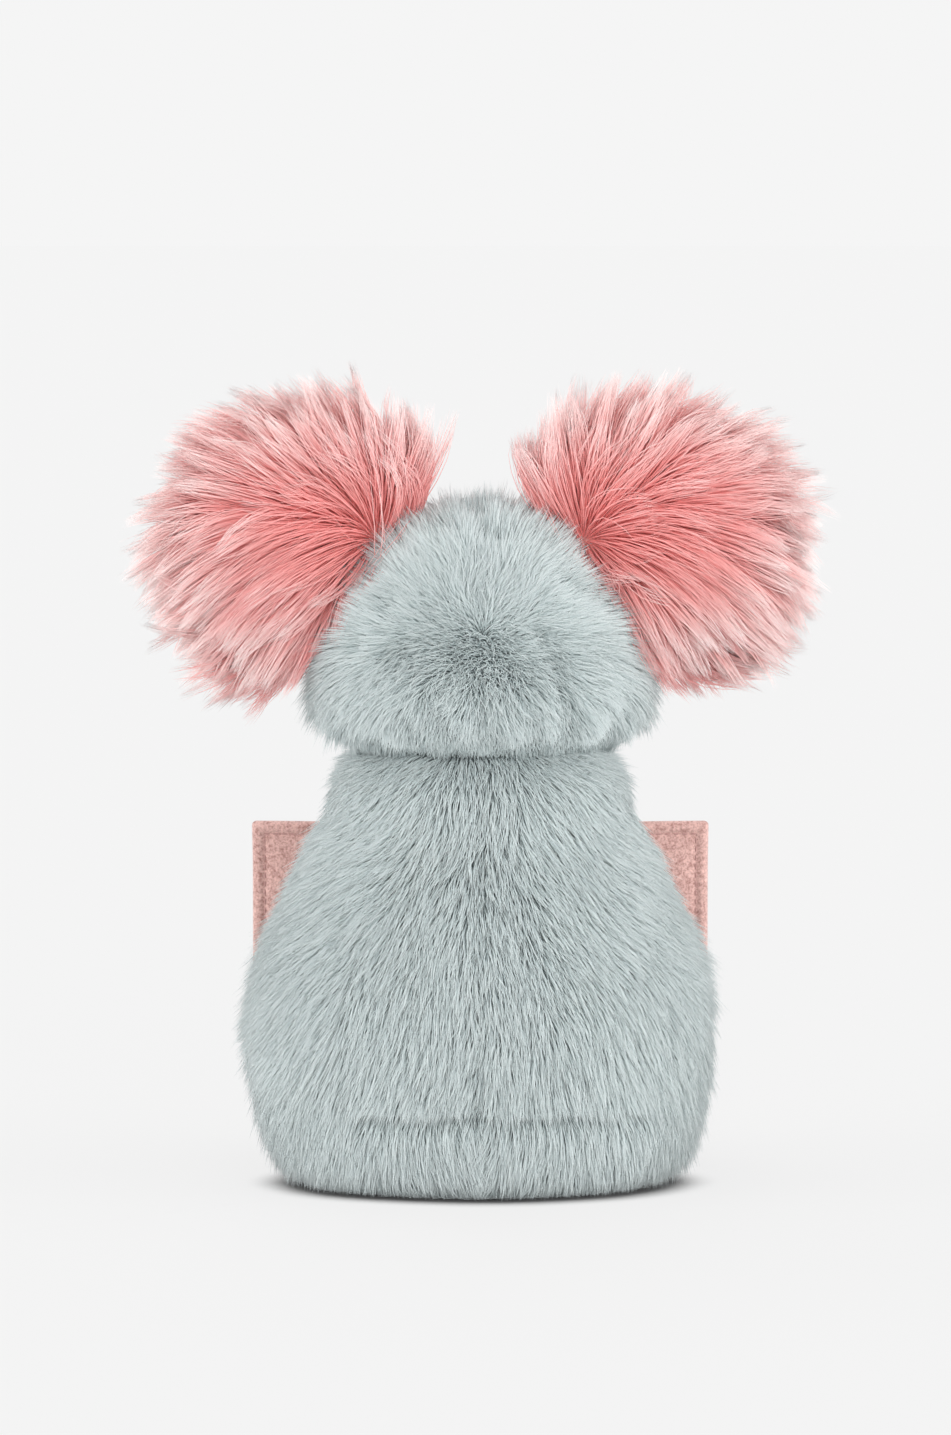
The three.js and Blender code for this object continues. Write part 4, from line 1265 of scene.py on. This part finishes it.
def edge_stitches(name, look, body, start, inset, height, way, sign, *sizes):
    """Stitches round the three free edges of a cover or a page, on the face that faces that way."""
    edge, low, high = BOOK_EDGE - inset, BOOK_LOW + inset, BOOK_HIGH - inset
    corners = [(start, low), (edge, low), (edge, high), (start, high)]
    runs = [np.linspace(a, b, 60, endpoint=False) for a, b in zip(corners, corners[1:])]
    across, z = np.vstack(runs + [corners[-1:]]).T
    path = on_book(across, z, height(across, z) + waves(across, z))
    stitches(name, path, BOOK_BACK * way, sign, look, body, *sizes)


def make_pages():
    """One blank cloth page on each side, hemmed, and joined to its cover by a strip."""
    across, z = book_grid(PAGE_START, PAGE_MARGIN)
    in_from_edge = to_edge(across, z, PAGE_MARGIN)
    hem = 1 - ramp(in_from_edge, 2.6 * MM, 3.4 * MM)
    half = (0.3 + (1 - np.exp(-in_from_edge / (0.35 * MM))) * (0.12 + 0.2 * hem)) * MM
    middle = PAGE_LEVEL + waves(across, z)
    for side, sign in SIDES.items():
        body = f"page_{side}"
        heights = (middle + half, middle - half)
        piece, face = leaf(f"{body}_cloth", "page_cloth", body, across, z, heights, sign, [body])
        edge_stitches(f"{body}_stitches", "page_cloth", body, PAGE_START, PAGE_MARGIN + 2.3 * MM,
                      lambda across, z: PAGE_LEVEL - 0.62 * MM, -1, sign, 1.8, 0.8, 0.2)
        page_strip(side, sign)


def page_strip(side, sign):
    """The strip of cloth that holds a page's inner edge to the cover, beside the spine."""
    rows = np.linspace(HINGE[0] + 1.6 * MM, HINGE[0] + 3.4 * MM, 12)
    across, z = np.meshgrid(rows, np.linspace(BOOK_LOW + PAGE_MARGIN, BOOK_HIGH - PAGE_MARGIN, 60))
    middle = -2.9 * MM - 2.2 * MM * ramp(across, rows[1], rows[-2])
    heights = (middle + 0.3 * MM, middle - 0.3 * MM)
    leaf(f"page_{side}_strip", "page_cloth", f"cover_{side}", across, z, heights, sign)


def make_dots():
    """The covers' half of the hook-and-loop dots that hold the book to the paws."""
    for side, sign in SIDES.items():
        body = f"cover_{side}"
        disc(f"{body}_hooks", f"{body}_fastener", "hook_and_loop", body, BOOK_BACK, sign)


# ---------------- base and sleeve


def oval(half_width, half_depth, height, count=96):
    """A ring of points on an oval round the hand's axis."""
    turn = np.linspace(0, 2 * math.pi, count, endpoint=False)
    return np.stack([half_width * np.cos(turn), HAND_Y + half_depth * np.sin(turn), height + 0 * turn], -1)


def make_base():
    """The flat suede panel under the puppet, and the binding round the hand's way in."""
    gap = 0.3 * MM
    a, b = (half + BINDING + gap for half in HAND_HOLE)
    share = np.linspace(0, 1, 14)
    edge = 0.4 * MM * (1 - np.sqrt(np.clip(np.minimum(share, 1 - share) / 0.15, 0, 1)))
    widths = a + (BASE_HALF - a) * share
    depths = b + (BASE_HALF * TORSO_DEPTH - b) * share
    top = np.array([oval(w, d, BASE_TOP - e) for w, d, e in zip(widths, depths, edge)])
    bottom = np.array([oval(w, d, e) for w, d, e in zip(widths, depths, edge)])
    piece = ring_cloth("base_suede_panel", top, bottom)
    finish_piece(piece, "base_suede", "torso", ["base_panel"])

    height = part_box("hand_opening_binding")[1].z / 2
    rings = []
    for turn in np.linspace(0, 2 * math.pi, 16, endpoint=False):
        out = BINDING / 2 * (1 + math.cos(turn))
        rings.append(oval(HAND_HOLE[0] + out, HAND_HOLE[1] + out, height * (1 + math.sin(turn))))
    tube = mesh_object("hand_opening_tape", rings, grid_faces(*np.shape(rings)[:2], wrap=True, close=True))
    finish_piece(tube, "base_suede", "torso", ["hand_opening_binding"])
    path = oval(a + 1.4 * MM, b + 1.4 * MM, 0.5 * MM)
    stitches("base_stitches", np.vstack([path, path[:1]]), (0, 0, -1.0), 1, "thread", "torso")


def make_sleeve():
    """The lining round the hand, open below and at the neck, with a round way out to each arm."""
    levels = np.array(SLEEVE) * MM
    z = np.linspace(levels[0, 0], levels[-1, 0], 60)
    wide, deep = (np.interp(z, levels[:, 0], levels[:, k]) for k in (1, 2))
    inner = np.array([oval(w, d, h) for w, d, h in zip(wide, deep, z)])
    outer = np.array([oval(w + LINING, d + LINING, h) for w, d, h in zip(wide, deep, z)])
    piece = ring_cloth("hand_sleeve_cloth", outer, inner)
    for sign in SIDES.values():
        cut(piece, arm_way(sign))
    finish_piece(piece, "lining_cloth", "torso", ["hand_sleeve"])


def dress_cad_nodes():
    """Materials for the CAD nodes that stay: what lies inside, out of sight."""
    looks = {"stuffing": "wadding", "ring": "grey_backing", "lining": "lining_cloth",
             "pocket": "lining_cloth", "washer": "washer_plastic"}
    for name, node in frame["nodes"].items():
        if not node.hide_render:
            look = next(look for word, look in looks.items() if word in name)
            node.material_slots[0].material = LOOKS[look]


# ---------------- stage and camera


def make_stage():
    """A pale floor in a room of the same brightness, with a painted contact shadow where something touches
    it.
    """
    corners = [(x * FLOOR_HALF, y * FLOOR_HALF, 0) for x, y in ((-1, -1), (1, -1), (1, 1), (-1, 1))]
    floor = mesh_object("floor", corners, [[0, 1, 2, 3]], smooth=False)
    look = Look("pale_floor", (0.12, 0.12, 0.12), 0.9, Specular_IOR_Level=0.0, Emission_Strength=0.757)
    # Painted contact shadow: ambient occlusion darkens the floor's glow near anything that stands on it.
    contact_occlusion = look.node("AmbientOcclusion", "AO", {"samples": 12}, Distance=13 * MM)
    shade = look.stops(contact_occlusion, [(0.25, (0.03, 0.03, 0.03)), (0.6, (0.45, 0.45, 0.45)), (0.97, (1, 1, 1))])
    floor.data.materials.append(look.paint(shade, socket="Emission Color"))
    world = bpy.data.worlds.new("pale_room")
    world.use_nodes = True
    world.node_tree.nodes["Background"].inputs["Color"].default_value = (STAGE_WHITE,) * 3 + (1,)
    bpy.context.scene.world = world
    for name, energy, direction, spread in LIGHTS:
        light = bpy.data.lights.new(name, "SUN")
        light.energy = energy
        light.angle = math.radians(spread)
        lamp = bpy.data.objects.new(name, light)
        lamp.rotation_euler = Vector(direction).to_track_quat("Z", "Y").to_euler()
        bpy.context.scene.collection.objects.link(lamp)
    settings = bpy.context.scene.view_settings
    settings.view_transform = "Standard"
    settings.look = "None"


def make_camera():
    """A long lens behind the puppet, a little above its middle."""
    camera = bpy.data.objects.new("camera", bpy.data.cameras.new("camera"))
    bpy.context.scene.collection.objects.link(camera)
    camera.data.lens = VIEW["lens"]
    camera.data.clip_end = 100
    lift = math.radians(VIEW["elevation"])
    back = Vector((0, math.cos(lift), math.sin(lift)))
    camera.location = Vector(VIEW["aim"]) + back * VIEW["distance"]
    camera.rotation_euler = back.to_track_quat("Z", "Y").to_euler()
    bpy.context.scene.camera = camera


make_camera()
make_stage()
make_backings()
make_head_filling()
make_body_fur()
make_head_fur()
for ear_side, ear_sign in SIDES.items():
    make_ear(ear_side, ear_sign)
make_nose()
make_eyes()
make_mouth()
make_arms()
make_legs()
make_covers()
make_pages()
make_dots()
make_base()
make_sleeve()
dress_cad_nodes()
